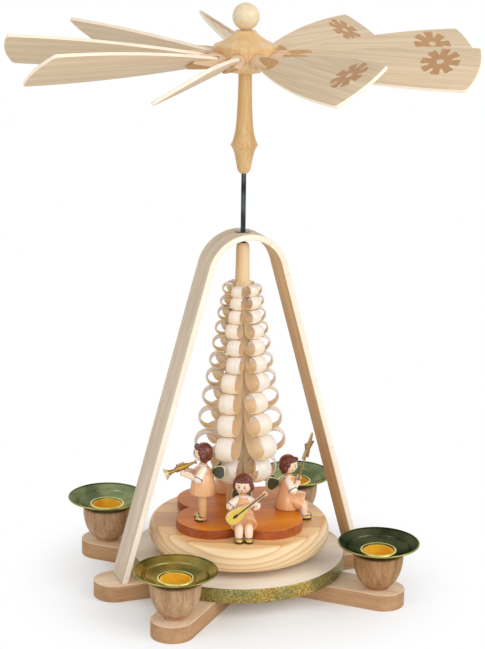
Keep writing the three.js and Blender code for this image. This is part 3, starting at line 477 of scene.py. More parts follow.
# The blades: thin, straight-grained boards, planed but not varnished, with paler sanded edges,
# whose near-white is partly a painted highlight.
blade_wood = wood("planed_blade_wood", "#E1CCAE", "#CDB28D", fibre=0.5, ring=3.2, length=34,
                  pores=0.3, rough=0.6)
lit_blade_edge = wood("sanded_blade_edge_painted_highlight", "#FFF2DE", "#F6E2C6", fibre=0.5, ring=3, length=34, pores=0.1)

# %% The turned and carved woods
# Beech for the cups, turned end-on, so its rays show as short upright strokes.
cup_wood = wood("turned_beech_cup", "#C6A27C", "#9A7350", fibre=0.5, ring=2.6, length=5, pores=0.6)
# The front right cup is darker and warmer: a copy of the cup wood with painted shade.
shaded_cup_wood = wood("warm_beech_cup", "#B88C5E", "#8A6238", fibre=0.5, ring=2.6, length=5, pores=0.6)
# Lime and maple from the lathe, finished with a thin satin lacquer.
turned_wood = wood("lacquered_turned_wood", "#E6C592", "#CFA468", fibre=0.6, ring=5, length=26,
                   pores=0.12, rough=0.38, coat=0.25)
# The long shaft is given a warmer, darker tone than the hub, and the ball a paler one.
shaft_wood = wood("waxed_turned_shaft", "#DAB680", "#C3975A", fibre=0.6, ring=5, length=26,
                  pores=0.12, rough=0.42, coat=0.2)
ball_wood = wood("pale_turned_ball", "#EBD9B8", "#DAC193", fibre=0.6, ring=5, length=26,
                 pores=0.12, rough=0.38, coat=0.25)
# The dowels are bare beech and look pinker than the lacquered hub.
dowel_wood = wood("bare_beech_dowel", "#E9CDB0", "#D5B189", fibre=0.6, ring=3, length=14,
                  pores=0.3, rough=0.55, coat=0.05)
# The trunk is lime, left from the knife: soft, pale and matt, with hardly a ring to see.
trunk_wood = wood("carved_trunk_wood", "#EDD2AC", "#DCB686", fibre=0.5, ring=3, length=20, rough=0.55)
# The gowns are stained a light peach and have a full coat of clear lacquer, so each bell carries
# a sharp highlight over its faint grain.
gown_wood = wood("lacquered_gown_wood", "#EFBA88", "#DDA068", fibre=0.6, ring=3, length=10,
                 pores=0.1, rough=0.26, coat=1.0)
# Where the chisel cuts a dowel across its fibres, the open ends of the fibres look darker.
end_grain = wood("cut_end_grain", "#CDA474", "#AE8453", fibre=0.5, ring=1.5, length=0.5,
                 pores=0.6, rough=0.7)
print("wood finishes:", len(bpy.data.materials))

# %% [markdown]
# ## Pine with rings
# The stage is turned from a flat-sawn pine board. Its rings are cylinders round the heart of the
# log, which lay well below the board, so the flat top shows broad stripes and the turned edge shows
# lines along the rim at the front and the ends of the rings at the sides. The distance from that
# heart, divided by the ring width and read as a saw-tooth, draws soft early wood that runs into a
# darker line. The top has yellowed more than the edge, and the edge's paler tone is partly a
# painted highlight along its lit belly.


# %% Turned pine
RING_WIDTH = 2.9
HEART_ASIDE, HEART_UNDER = 4, 52  # the heart's place beside the spindle and below the floor
WANDER = 5.0  # how far a ring strays from a true cylinder
WANDER_LENGTH, WANDER_WIDTH = 120, 22
LATE_WOOD = 2.6  # a higher power keeps the dark wood to the last part of a ring
PINE_LENGTH, PINE_FIBRE = 25, 0.5


def ringed_pine(name, early, late):
    """Pine from the colours of its early and its late wood."""
    material, tree, surface = finish(name)
    grain = node(tree, "Attribute", attribute_name="grain").outputs["Vector"]
    broad = (1 / WANDER_LENGTH, 1 / WANDER_WIDTH, 1 / WANDER_WIDTH)
    slow = node(tree, "Mapping", {"Vector": grain, "Scale": broad})
    wander = node(tree, "TexNoise", {"Vector": slow.outputs[0], "Scale": 1, "Detail": 2})
    flat = node(tree, "Mapping", {"Vector": grain, "Scale": (0, 1, 1),
                                  "Location": (0, HEART_ASIDE, HEART_UNDER)})
    heart = node(tree, "VectorMath", {0: flat.outputs[0]}, operation="LENGTH")
    bent = node(tree, "Math", {0: wander.outputs[0], 1: WANDER, 2: heart.outputs["Value"]},
                operation="MULTIPLY_ADD")
    count = node(tree, "Math", {0: bent.outputs[0], 1: RING_WIDTH}, operation="DIVIDE")
    tooth = node(tree, "Math", {0: count.outputs[0]}, operation="FRACT")
    line = node(tree, "Math", {0: tooth.outputs[0], 1: LATE_WOOD}, operation="POWER")
    narrow = (1 / PINE_LENGTH, 1 / PINE_FIBRE, 1 / PINE_FIBRE)
    thin = node(tree, "Mapping", {"Vector": grain, "Scale": narrow})
    fibres = node(tree, "TexNoise", {"Vector": thin.outputs[0], "Scale": 1, "Detail": 3})
    soft = node(tree, "Math", {0: fibres.outputs[0], 1: 0.3, 2: line.outputs[0]},
                operation="MULTIPLY_ADD")
    share = node(tree, "MapRange", {"Value": soft.outputs[0], "From Min": 0.1, "From Max": 1.1,
                                    "To Max": 0.85})
    tone = node(tree, "Mix", {0: share.outputs[0], 6: linear(early), 7: linear(late)},
                data_type="RGBA")
    polish = node(tree, "MapRange", {"Value": line.outputs[0], "To Min": 0.42, "To Max": 0.28})
    relief = node(tree, "Bump", {"Height": soft.outputs[0], "Strength": 0.2,
                                 "Distance": RELIEF * MM})
    tree.links.new(tone.outputs[2], surface.inputs["Base Color"])
    tree.links.new(polish.outputs[0], surface.inputs["Roughness"])
    tree.links.new(relief.outputs[0], surface.inputs["Normal"])
    surface.inputs["Specular IOR Level"].default_value = WOOD_SHINE
    surface.inputs["Coat Weight"].default_value = 0.12
    surface.inputs["Coat Roughness"].default_value = 0.15
    return material


pine_top = ringed_pine("yellowed_pine_top", "#F2C990", "#CE9656")
# The paler edge is partly a painted highlight.
lit_pine_edge = ringed_pine("turned_pine_edge_painted_highlight", "#F0D4A8", "#D2A268")

# %% [markdown]
# ## Stain, paint and metal
# Stain is wood seen through colour, so it keeps the fibres. Paint hides them: it has a base
# colour that drifts a little where the brush left it thicker, a faint orange-peel bump and a
# clear gloss. Brass is spun on a lathe, so its fine lines run round it, and it is lacquered. Its
# olive and near-black tones are partly lacquer and partly painted reflection of a darker room, so
# that it doesn't mirror the plain white world as bright yellow.

# %% Stained wood
# An orange water stain, almost flat on top, and darker on the sawn edge, which drank more of it and
# carries painted shade.
stain_top = wood("orange_stain", "#E68C1E", "#C2680E", fibre=0.8, ring=9, length=30,
                 pores=0.2, rough=0.42, coat=0.08)
shaded_stain_side = wood("orange_stain_edge_painted_shade", "#B96026", "#8E4018", fibre=0.6, ring=5, length=12,
                  pores=0.2, rough=0.4, coat=0.2)


# %% Brush paint
PEEL = 0.5  # mm from one dimple of the orange peel to the next


def paint_coat(name, colour, shade, rough=0.3, patch=3.0, metal=0.0, coat=0.4):
    """patch is the width in mm of the places where the brush left the paint thicker."""
    material, tree, surface = finish(name)
    grain = node(tree, "Attribute", attribute_name="grain").outputs["Vector"]
    drift = node(tree, "TexNoise", {"Vector": grain, "Scale": 1 / patch, "Detail": 3})
    tone = node(tree, "Mix", {0: drift.outputs[0], 6: linear(shade), 7: linear(colour)},
                data_type="RGBA")
    peel = node(tree, "TexNoise", {"Vector": grain, "Scale": 1 / PEEL, "Detail": 1})
    relief = node(tree, "Bump", {"Height": peel.outputs[0], "Strength": 0.12,
                                 "Distance": RELIEF * MM})
    worn = node(tree, "MapRange", {"Value": drift.outputs[0], "To Min": rough + 0.1,
                                   "To Max": rough - 0.05})
    tree.links.new(tone.outputs[2], surface.inputs["Base Color"])
    tree.links.new(worn.outputs[0], surface.inputs["Roughness"])
    tree.links.new(relief.outputs[0], surface.inputs["Normal"])
    surface.inputs["Metallic"].default_value = metal
    surface.inputs["Coat Weight"].default_value = coat
    surface.inputs["Coat Roughness"].default_value = 0.1
    return material


# %% The colours of the paint box
# Hair is chestnut enamel laid on thick, so each ball carries a small bright spot.
hair_paint = paint_coat("gloss_hair_paint", "#7C2E14", "#501A08", rough=0.3, coat=0.3)
# Skin, cheeks and lips are satin and pass softly from one tone to the next.
skin_paint = paint_coat("skin_paint", "#F9E0C6", "#F2CDA8", rough=0.4)
leg_paint = paint_coat("tan_leg_paint", "#E9BE88", "#DBA56E", rough=0.35)
cheek_paint = paint_coat("cheek_paint", "#EDB79B", "#E9AA8C", rough=0.45)
lip_paint = paint_coat("lip_paint", "#A8433A", "#8C342D", rough=0.35)
# The sleeves are the palest thing on a figure, and dark lines set them off.
cream_paint = paint_coat("cream_sleeve_paint", "#FBF1E2", "#EFDCC6", rough=0.4)
dark_paint = paint_coat("dark_brown_line_paint", "#2A1711", "#170C09", rough=0.3)
wing_paint = paint_coat("dark_green_wing_paint", "#3B4127", "#212617", rough=0.3, coat=0.7)
# Gold here is metal powder in varnish: it glints as metal does and mirrors nothing.
gold_paint = paint_coat("gold_paint", "#C79A3C", "#8A6A22", rough=0.3, metal=0.6)
pale_gold_paint = paint_coat("pale_gold_paint", "#E3DBB2", "#C2BB8C", rough=0.3, metal=0.3)
bronze_paint = paint_coat("bronze_paint", "#B99A62", "#8C6C3E", rough=0.4, metal=0.3)
pole_paint = paint_coat("green_gold_pole_paint", "#A78A45", "#80682F", rough=0.3, metal=0.3)
shoe_paint = paint_coat("gold_brown_shoe_paint", "#DDBB6C", "#B08A42", rough=0.25, metal=0.3, coat=0.7)
# The mandolin's face and neck are wood under a tinted lacquer that hides its fibres.
yellow_lacquer = paint_coat("yellow_lacquer", "#E9C53C", "#CFAA30", rough=0.2, coat=0.8)
neck_lacquer = paint_coat("pale_neck_lacquer", "#E2BC8C", "#C99C68", rough=0.3)
# The flowers are printed in a flat brown ink without any gloss.
flower_stamp = paint_coat("stamped_brown", "#BF9469", "#AB7F54", rough=0.6, coat=0.0)
# The two bearings shine most: one is glazed, the other is enamelled and nearly black.
porcelain = paint_coat("glazed_porcelain", "#F1EFEA", "#E7E4DC", rough=0.12, coat=0.8)
black_enamel = paint_coat("black_enamel", "#26241F", "#151411", rough=0.2, coat=0.5)


# %% Glitter paint on the edge of the base
FLAKE = 0.5  # larger than life, so that the flakes show
GOLD_PATCH = 35  # mm from one patch to the next, about


def glitter_edge(name):
    """Metallic paint with olive flakes and, in patches, gold ones."""
    material, tree, surface = finish(name)
    grain = node(tree, "Attribute", attribute_name="grain").outputs["Vector"]
    flakes = node(tree, "TexVoronoi", {"Vector": grain, "Scale": 1 / FLAKE})
    glint = node(tree, "SeparateColor", {0: flakes.outputs["Color"]})
    share = node(tree, "MapRange", {"Value": glint.outputs[0], "From Min": 0.35, "From Max": 1})
    olive = node(tree, "Mix", {0: share.outputs[0], 6: linear("#746C34"), 7: linear("#B8AC6C")},
                 data_type="RGBA")
    gold = node(tree, "Mix", {0: share.outputs[0], 6: linear("#A87A26"), 7: linear("#EBC868")},
                data_type="RGBA")
    slow = node(tree, "TexNoise", {"Vector": grain, "Scale": 1 / GOLD_PATCH, "Detail": 1})
    patch = node(tree, "MapRange", {"Value": slow.outputs[0], "From Min": 0.53, "From Max": 0.68})
    tone = node(tree, "Mix", {0: patch.outputs[0], 6: olive.outputs[2], 7: gold.outputs[2]},
                data_type="RGBA")
    rough = node(tree, "MapRange", {"Value": glint.outputs[1], "To Min": 0.25, "To Max": 0.6})
    relief = node(tree, "Bump", {"Height": glint.outputs[2], "Strength": 0.3,
                                 "Distance": RELIEF * MM})
    tree.links.new(tone.outputs[2], surface.inputs["Base Color"])
    tree.links.new(rough.outputs[0], surface.inputs["Roughness"])
    tree.links.new(relief.outputs[0], surface.inputs["Normal"])
    surface.inputs["Metallic"].default_value = 0.6
    return material


olive_glitter = glitter_edge("olive_gold_glitter")


# %% Spun and drawn metal
def spun_metal(name, bright, dull, rough, spacing=0.35, patch=9, metal=1.0, graze="#FFFFFF"):
    """The lathe's lines are rings round the axis, so they are drawn from the distance to it.

    spacing and patch are in mm, and graze is the tint of a reflection at a low angle.
    """
    material, tree, surface = finish(name)
    grain = node(tree, "Attribute", attribute_name="grain").outputs["Vector"]
    cloud = node(tree, "TexNoise", {"Vector": grain, "Scale": 1 / patch, "Detail": 4})
    worn_share = node(tree, "MapRange", {"Value": cloud.outputs[0], "From Min": 0.36, "From Max": 0.64})
    tone = node(tree, "Mix", {0: worn_share.outputs[0], 6: linear(dull), 7: linear(bright)},
                data_type="RGBA")
    flat = node(tree, "Mapping", {"Vector": grain, "Scale": (0, 1, 1)})
    away = node(tree, "VectorMath", {0: flat.outputs[0]}, operation="LENGTH")
    count = node(tree, "Math", {0: away.outputs["Value"], 1: 1 / spacing}, operation="MULTIPLY")
    lines = node(tree, "TexNoise", {"W": count.outputs[0], "Scale": 1, "Detail": 2},
                 noise_dimensions="1D")
    worn = node(tree, "MapRange", {"Value": lines.outputs[0], "To Min": rough, "To Max": rough + 0.12})
    relief = node(tree, "Bump", {"Height": lines.outputs[0], "Strength": 0.15, "Distance": 0.05 * MM})
    tree.links.new(tone.outputs[2], surface.inputs["Base Color"])
    tree.links.new(worn.outputs[0], surface.inputs["Roughness"])
    tree.links.new(relief.outputs[0], surface.inputs["Normal"])
    surface.inputs["Metallic"].default_value = metal
    surface.inputs["Specular Tint"].default_value = linear(graze)
    return material


# Tinted lacquer keeps its colour at a glancing view, where bare brass would turn white. The four
# dishes differ by painted reflection: one is golden, two are green and one almost black, each with
# its own tint at a glancing view, as they would mirror different parts of a darker room.
golden_reflection_dish = spun_metal("golden_olive_brass_painted_reflection", "#A8924C", "#64663A", 0.2, patch=16, graze="#DCD0C0")
green_reflection_dish = spun_metal("green_brass_painted_reflection", "#949C70", "#586244", 0.18, patch=18, graze="#E4E2D0")
dark_reflection_dish = spun_metal("dark_green_brass_painted_reflection", "#4E5038", "#263020", 0.18, patch=16, graze="#B8BBB6")
# The bead round the tube is pale yellow as a painted highlight, and the rolled edge a pale olive as a
# painted highlight along the roll.
bead_brass_painted_highlight = spun_metal("brass_bead_painted_highlight", "#E8DC8E", "#C2AE5A", 0.22)
roll_brass_painted_highlight = spun_metal("olive_brass_roll_painted_highlight", "#A9A460", "#77773A", 0.25, graze="#D8D8C0")
# Inside the tube the colour is a painted reflection: bright yellow and only a little metallic, it stays
# bright all the way down, as light bounced round inside the brass would.
tube_brass_painted_reflection = spun_metal("yellow_tube_painted_reflection", "#FFD84A", "#F6BE2A", 0.25, metal=0.15)
# The rod and the needle are steel drawn through a die and blackened by heat.
blued_steel = spun_metal("blackened_steel", "#5A5F63", "#2F3336", 0.28)
print("finishes in all:", len(bpy.data.materials))

# %% [markdown]
# ## Camera
# The camera was worked out from points on the object in the photograph: where it stands, which
# way it looks, how it is rolled, and how long its lens is for a picture 649 pixels high. A camera
# that isn't turned looks straight down, so a tilt of 90 degrees would be level.

# %% Camera
PICTURE_HEIGHT = 649
FOCAL_PIXELS = 1930.949
SENSOR = 36
CAMERA_SPOT = Vector((-337.524, -845.316, 383.428))
CAMERA_TILT, CAMERA_ROLL, CAMERA_PAN = 74.6039, -0.7881, -21.5737
lens = bpy.data.cameras.new("camera")
lens.sensor_width = SENSOR
lens.lens = FOCAL_PIXELS * SENSOR / PICTURE_HEIGHT
camera = bpy.data.objects.new("camera", lens)
bpy.context.scene.collection.objects.link(camera)
camera.location = CAMERA_SPOT * MM
camera.rotation_euler = [math.radians(a) for a in (CAMERA_TILT, CAMERA_ROLL, CAMERA_PAN)]
bpy.context.scene.camera = camera
print("lens in mm:", round(lens.lens, 2))

# %% [markdown]
# ## Light and floor
# A plain pale studio: an even white world, a large soft lamp on either side, the right one
# stronger, and a low one in front that reaches in between the shavings. Their levels are such that
# a colour comes out about as it is written. The floor is white paper that keeps the shadow close
# to the object and fades to plain white a little way off.

# %% World
FILL = 0.64  # how bright the world is for matt surfaces, while mirrors and camera see plain white
world = bpy.data.worlds.new("studio")
bpy.context.scene.world = world
world.use_nodes = True
sky = world.node_tree
sky.nodes.clear()
path = node(sky, "LightPath")
seen = node(sky, "Math", {0: path.outputs["Is Camera Ray"], 1: path.outputs["Is Glossy Ray"]},
            operation="MAXIMUM")
seen = node(sky, "Math", {0: seen.outputs[0], 1: path.outputs["Is Transmission Ray"]},
            operation="MAXIMUM")
fill = node(sky, "Background", {"Color": linear("#F4F6FA"), "Strength": FILL})
white = node(sky, "Background", {"Color": (1, 1, 1, 1), "Strength": 1.0})
both = node(sky, "MixShader", {0: seen.outputs[0], 1: fill.outputs[0], 2: white.outputs[0]})
node(sky, "OutputWorld", {"Surface": both.outputs[0]})


# %% Lamps
LAMP_AIM = Vector((0, 0, 0.13))  # in metres, like the lamps' places


def softbox(name, spot, size, watts):
    """A round soft lamp that looks at the middle of the object."""
    light = bpy.data.lights.new(name, "AREA")
    light.shape = "DISK"
    light.size = size
    light.energy = watts
    lamp = bpy.data.objects.new(name, light)
    bpy.context.scene.collection.objects.link(lamp)
    lamp.location = spot
    aim = LAMP_AIM - Vector(spot)
    lamp.rotation_euler = aim.to_track_quat("-Z", "Y").to_euler()


softbox("key_lamp", (0.75, -1.0, 0.9), 1.1, 9.0)
softbox("side_lamp", (-1.1, -0.5, 1.0), 0.7, 3.6)
softbox("front_lamp", (-0.45, -1.3, 0.4), 0.6, 3.2)
print("lamps:", len(bpy.data.lights))

# %% Paper
SPECKS = 900  # to the metre
SHADOW_FADES, SHADOW_ENDS = 0.05, 0.12  # metres from the spindle
paper, tree, surface = finish("white_paper")
place = node(tree, "TexCoord").outputs["Object"]
speck = node(tree, "TexNoise", {"Vector": place, "Scale": SPECKS, "Detail": 2})
tone = node(tree, "Mix", {0: speck.outputs[0], 6: linear("#FAFAF9"), 7: linear("#FFFFFF")},
            data_type="RGBA")
tree.links.new(tone.outputs[2], surface.inputs["Base Color"])
surface.inputs["Roughness"].default_value = 0.9
surface.inputs["Specular IOR Level"].default_value = 0.1
away = node(tree, "VectorMath", {0: place}, operation="LENGTH")
far = node(tree, "MapRange", {"Value": away.outputs["Value"], "From Min": SHADOW_FADES,
                              "From Max": SHADOW_ENDS}, interpolation_type="SMOOTHSTEP")
rays = node(tree, "LightPath")
shown = node(tree, "Math", {0: rays.outputs["Is Camera Ray"], 1: rays.outputs["Is Glossy Ray"]},
             operation="MAXIMUM")
mask = node(tree, "Math", {0: far.outputs[0], 1: shown.outputs[0]}, operation="MULTIPLY")
glow = node(tree, "Emission", {"Color": (1, 1, 1, 1), "Strength": 1.0})
faded = node(tree, "MixShader", {0: mask.outputs[0], 1: surface.outputs[0], 2: glow.outputs[0]})
tree.links.new(faded.outputs[0], tree.nodes["Material Output"].inputs["Surface"])

# %% Floor
FLOOR_REACH = 3.0
sheet = bpy.data.meshes.new("floor")
corners = [(-1, -1), (1, -1), (1, 1), (-1, 1)]
sheet.from_pydata([(x * FLOOR_REACH, y * FLOOR_REACH, 0) for x, y in corners], [], [(0, 1, 2, 3)])
floor = bpy.data.objects.new("floor", sheet)
floor.data.materials.append(paper)
bpy.context.scene.collection.objects.link(floor)

# %% [markdown]
# ## The cross
# Two beech bars are halved into each other under the disc. Each has full-round ends. Their long
# edges are eased with sandpaper. The arch stands on two shorter arms that meet the cross with a
# point, and each has a slanting mortise for a foot of the arch. A bar could start as a stretched
# cube, but an outline with two half circles, raised into a board, has its round ends and its eased
# edge at once. The laps and mortises are then cut out, as a saw and a chisel would do it.

# %% Bars
ARM_HALF = 10.5
ARM_EDGE = 0.5
CANDLE_ANGLE = 45
LAP_GAP = 0.15
CLEAR = 1  # how far a cutter passes the face that it starts from
half_lap = arm_top / 2
bar_reach = (high("candle_bar_lower").x - ARM_HALF) / math.cos(math.radians(CANDLE_ANGLE)) + ARM_HALF
bar = arc((bar_reach - ARM_HALF, 0), (ARM_HALF, ARM_HALF), -90, 90, 32)
bar += arc((ARM_HALF - bar_reach, 0), (ARM_HALF, ARM_HALF), 90, 270, 32)
notch = ARM_HALF + LAP_GAP


def arm_paint(centre, normal):
    """Upright faces were sawn and not planed, and are darker partly as painted shade."""
    return shaded_beech_side if abs(normal.z) < 0.5 else None


piece(
    "halved_bar_lower",
    [(board(bar, 0, arm_top, ARM_EDGE), beech_top)],
    "base", "candle_bar_lower",
    place=spin(CANDLE_ANGLE), along="x", paint=arm_paint,
    cutters=[block((-notch, -2 * notch, half_lap - LAP_GAP), (notch, 2 * notch, arm_top + CLEAR))],
)
piece(
    "halved_bar_upper",
    [(board(bar, 0, arm_top, ARM_EDGE), beech_top)],
    "base", "candle_bar_upper",
    place=spin(-CANDLE_ANGLE), along="x", paint=arm_paint,
    cutters=[block((-notch, -2 * notch, -CLEAR), (notch, 2 * notch, half_lap + LAP_GAP))],
)
print("candle bars in mm:", round(2 * bar_reach, 1))

# %% Outline of an arm under the arch
arch_reach = high("arch_arm_right").x
point = ARM_HALF * math.sqrt(2) + 2 * LAP_GAP
arm = [(point, 0), (point + ARM_HALF, -ARM_HALF)]
arm += arc((arch_reach - ARM_HALF, 0), (ARM_HALF, ARM_HALF), -90, 90, 32)
arm += [(point + ARM_HALF, ARM_HALF)]
print("arm in mm:", round(arch_reach - point, 1))

# %% [markdown]
# ## The arch
# One strip of ash, steamed and bent over a form: two straight legs that lean in, joined by a
# round crown. It is swept here as a rounded rectangle along that line, so its grain coordinate
# can follow the strip, which is what makes a bent strip look bent and not sawn.

# %% The strip's line
LEAN = math.radians(15.8)
CROWN = 21.0  # outer radius of the round part
STRIP = 2.9
FOOT = 6.0  # how deep a foot sits in its mortise
LEG_STEPS, CROWN_STEPS = 24, 24
strip_half = high("arch_band").y
crown_z = arch_top - CROWN
middle = CROWN - STRIP / 2


def leg_x(offset, height):
    """Distance from the spindle of a line in a leg, at an offset inwards from its outer face."""
    radius = CROWN - offset
    x = radius * math.cos(LEAN)
    return x + (crown_z + radius * math.sin(LEAN) - height) * math.tan(LEAN)


foot_z = arm_top - FOOT
line = [Vector((leg_x(STRIP / 2, foot_z), foot_z))]
top_of_leg = crown_z + middle * math.sin(LEAN)
for i in range(1, LEG_STEPS):
    z = foot_z + (top_of_leg - foot_z) * i / LEG_STEPS
    line.append(Vector((leg_x(STRIP / 2, z), z)))
crown = arc((0, crown_z), (middle, middle), math.degrees(LEAN), 90, CROWN_STEPS)
line += [Vector(p) for p in crown]
line += [Vector((-p.x, p.y)) for p in reversed(line[:-1])]
strip_length = sum((b - a).length for a, b in zip(line, line[1:]))
print("length of the bent strip in mm:", round(strip_length, 1))

# %% The strip's section
STRIP_EDGE = 0.45
across_half, along_half = STRIP / 2 - STRIP_EDGE, strip_half - STRIP_EDGE
section = []
for i, (sx, sy) in enumerate(((1, 1), (-1, 1), (-1, -1), (1, -1))):
    corner = (sx * across_half, sy * along_half)
    section += arc(corner, (STRIP_EDGE, STRIP_EDGE), 90 * i, 90 * i + 90, 4)

# %% Sweep the strip
strip_points, strip_faces, strip_along = [], [], []
travelled = 0
for i, spot in enumerate(line):
    ahead = line[min(i + 1, len(line) - 1)] - line[max(i - 1, 0)]
    out = Vector((ahead.y, -ahead.x)).normalized()
    travelled += (spot - line[i - 1]).length if i else 0
    strip_along.append(travelled)
    for across, sideways in section:
        strip_points.append((spot.x + out.x * across, sideways, spot.y + out.y * across))
    if i:
        count = len(section)
        for k in range(count):
            j = (k + 1) % count
            a, b = (i - 1) * count, i * count
            strip_faces.append([a + k, b + k, b + j, a + j])
strip_faces += [list(range(len(section)))]
strip_faces += [[len(strip_points) - 1 - k for k in range(len(section))]]


def strip_grain(spot):
    """The grain coordinate follows the bent line."""
    flat = Vector((spot.x, spot.z))
    nearest = min(range(len(line)), key=lambda i: (line[i] - flat).length)
    return (strip_along[nearest], spot.y, (line[nearest] - flat).length)


def strip_paint(centre, normal):
    """Paler edges, partly as painted highlight, and a warmer inner face, partly as painted shade."""
    if abs(normal.y) > 0.5:
        return lit_ash_edge
    outward = Vector((centre.x, centre.z - min(centre.z, crown_z)))
    return ash_outside if Vector((normal.x, normal.z)).dot(outward) > 0 else shaded_ash_inside


piece("bent_arch", [((strip_points, strip_faces), ash_outside)], "base", "arch_band",
      grain=strip_grain, paint=strip_paint)

# %% Arms with their mortises
MORTISE_GAP = 0.25
mortise = []
for offset, z in ((-MORTISE_GAP, foot_z - MORTISE_GAP), (-MORTISE_GAP, arm_top + CLEAR),
                  (STRIP + MORTISE_GAP, arm_top + CLEAR), (STRIP + MORTISE_GAP, foot_z - MORTISE_GAP)):
    mortise.append((leg_x(offset, z), z))
mortise_width = strip_half + MORTISE_GAP
mortise_tool = upright(board(mortise, -mortise_width, mortise_width, edge=0))
for name, angle in (("right", 0), ("left", 180)):
    piece(
        f"arch_arm_{name}_board", [(board(arm, 0, arm_top, ARM_EDGE), beech_top)],
        "base", f"arch_arm_{name}",
        place=spin(angle), along="x", paint=arm_paint, cutters=[mortise_tool],
    )
print("mortise in mm:", round(2 * mortise_width, 1), "by", round(STRIP + 2 * MORTISE_GAP, 1))

# %% [markdown]
# ## Disc and bearing
# A pale maple disc covers the joint. Its edge is painted with olive-gold glitter, and a porcelain
# cup let into its middle carries the point of the needle. Each is a single turned profile, so the
# seat of the cup and the eased rim of the disc come with it and need no cutting.

# %% Disc and bearing cup
DISC_EDGE = 0.7
SEAT_GAP = 0.2
CONE_RADIUS, CONE_TIP, CONE_DEPTH = 3, 0.7, 3.6
bearing_radius = high("bearing_cup").x
bearing_bottom = low("bearing_cup").z
bearing_top = high("bearing_cup").z
seat = bearing_radius + SEAT_GAP


def disc_paint(centre, normal):
    """The glitter covers the rim and half of its eased edge."""
    return olive_glitter if centre.xy.length > disc_radius - DISC_EDGE / 2 else None


disc = [(0, arm_top), (disc_radius, arm_top), (disc_radius, disc_top), (seat, disc_top),
        (seat, bearing_bottom), (0, bearing_bottom)]
piece("base_disc_board", [(turned(eased(disc, DISC_EDGE), 128), maple)], "base", "base_disc",
      along="x", paint=disc_paint)
cone_floor = bearing_top - CONE_DEPTH
cup = [(0, bearing_bottom), (bearing_radius, bearing_bottom), (bearing_radius, bearing_top),
       (CONE_RADIUS, bearing_top), (CONE_TIP, cone_floor), (0, cone_floor)]
piece("bearing_saucer", [(turned(eased(cup, 0.4), 48), porcelain)], "base", "bearing_cup")
print("disc in mm:", round(2 * disc_radius, 1), "thick:", round(disc_top - arm_top, 1))

# %% Collar in the top of the arch
COLLAR_BORE, COLLAR_RADIUS = 1.5, 2.4
collar_foot = low("arch_bushing").z - 0.05
collar_high = high("arch_bushing").z
flange = high("arch_bushing").x
flange_foot = arch_top - 0.5
collar = [(COLLAR_BORE, collar_foot), (COLLAR_RADIUS, collar_foot), (COLLAR_RADIUS, flange_foot),
          (flange, flange_foot), (flange, collar_high - 0.3), (flange - 0.6, collar_high),
          (COLLAR_BORE, collar_high)]
piece("arch_collar", [(turned(eased(collar + collar[:1], 0.2), 48), black_enamel)], "base",
      "arch_bushing")

# %% [markdown]
# ## Candle cups and drip plates
# Each cup is a turned beech bowl on a small foot. Its brass plate is spun from thin sheet: a
# straight tube for the candle, a raised bead round its mouth, a shallow dish to catch the wax and
# a rolled edge. The bright yellow inside the tube is a painted reflection, and the dish's olive is
# partly lacquer and partly painted reflection. A plate could be a bare surface that is thickened
# afterwards, but a closed profile with both faces of the sheet keeps the bead and the roll crisp.

# %% Profile of a cup
CUP_RADIUS = 12.4
CUP_FOOT = 6.2
TUBE_RADIUS = 7.0
TUBE_DEPTH = 13
groove_z = cup_top + 0.9
tube_floor = groove_z - TUBE_DEPTH
bore = TUBE_RADIUS + 0.8
bore_floor = tube_floor - 0.9
cup_side = through([(CUP_FOOT - 0.2, arm_top + 1.1), (8.9, arm_top + 3.6), (11.1, arm_top + 8.2),
                    (12.2, arm_top + 13), (CUP_RADIUS, cup_top - 0.4)], 8)
cup_profile = [(0, arm_top), (CUP_FOOT - 0.4, arm_top), (CUP_FOOT - 0.1, arm_top + 0.8), *cup_side,
               (CUP_RADIUS - 0.5, cup_top), (bore, cup_top), (bore, bore_floor), (0, bore_floor)]

# %% Profile of a drip plate
SHEET = 0.35
PLATE_RADIUS = 20
ROLL = 0.42
BEAD_RADIUS, BEAD_HALF = 8.3, 0.9
DISH_START, DISH_STEPS = 9.8, 24
DISH_CURVE = 1.3  # above 1, so the dish steepens towards its rim
RING_RADIUS, RING_HALF = 15.2, 0.4  # the small step halfway up the dish
rim_z = high("drip_plate_right_back").z
dish = []
for i in range(DISH_STEPS + 1):
    t = i / DISH_STEPS
    dish.append((DISH_START + (PLATE_RADIUS - 0.45 - DISH_START) * t,
                 groove_z + (rim_z - 0.35 - groove_z) * t**DISH_CURVE))
roll = arc((PLATE_RADIUS - ROLL, rim_z - 0.4), (ROLL, 0.4), 150, -90, 12)
bead = arc((BEAD_RADIUS, groove_z), (BEAD_HALF, 0.75), 180, 0, 12)
step_ring = arc((RING_RADIUS, groove_z + (rim_z - groove_z) * 0.42), (0.35, 0.3), 180, 0, 6)
upper = [(0, tube_floor), (TUBE_RADIUS, tube_floor), (TUBE_RADIUS, groove_z - 0.1), *bead]
upper += [p for p in dish if p[0] < RING_RADIUS - RING_HALF]
upper += [*step_ring, *[p for p in dish if p[0] > RING_RADIUS + RING_HALF]]
under = [(r, z - SHEET) for r, z in reversed(dish[:-1])]
plate_profile = [*upper, *roll, *under, (TUBE_RADIUS + SHEET, groove_z - SHEET),
                 (TUBE_RADIUS + SHEET, tube_floor - SHEET), (0, tube_floor - SHEET)]


# %% Four cups, each with its plate
CUP_CENTRE = 74.4


def plate_paint(centre, normal):
    """Painted reflection inside the tube, a painted highlight on the bead and another along the rolled
    edge.
    """
    away = centre.xy.length
    if away < TUBE_RADIUS + 0.3:
        return tube_brass_painted_reflection
    if away > PLATE_RADIUS - 0.6:
        return roll_brass_painted_highlight
    return bead_brass_painted_highlight if -0.4 < away - BEAD_RADIUS < BEAD_HALF else None


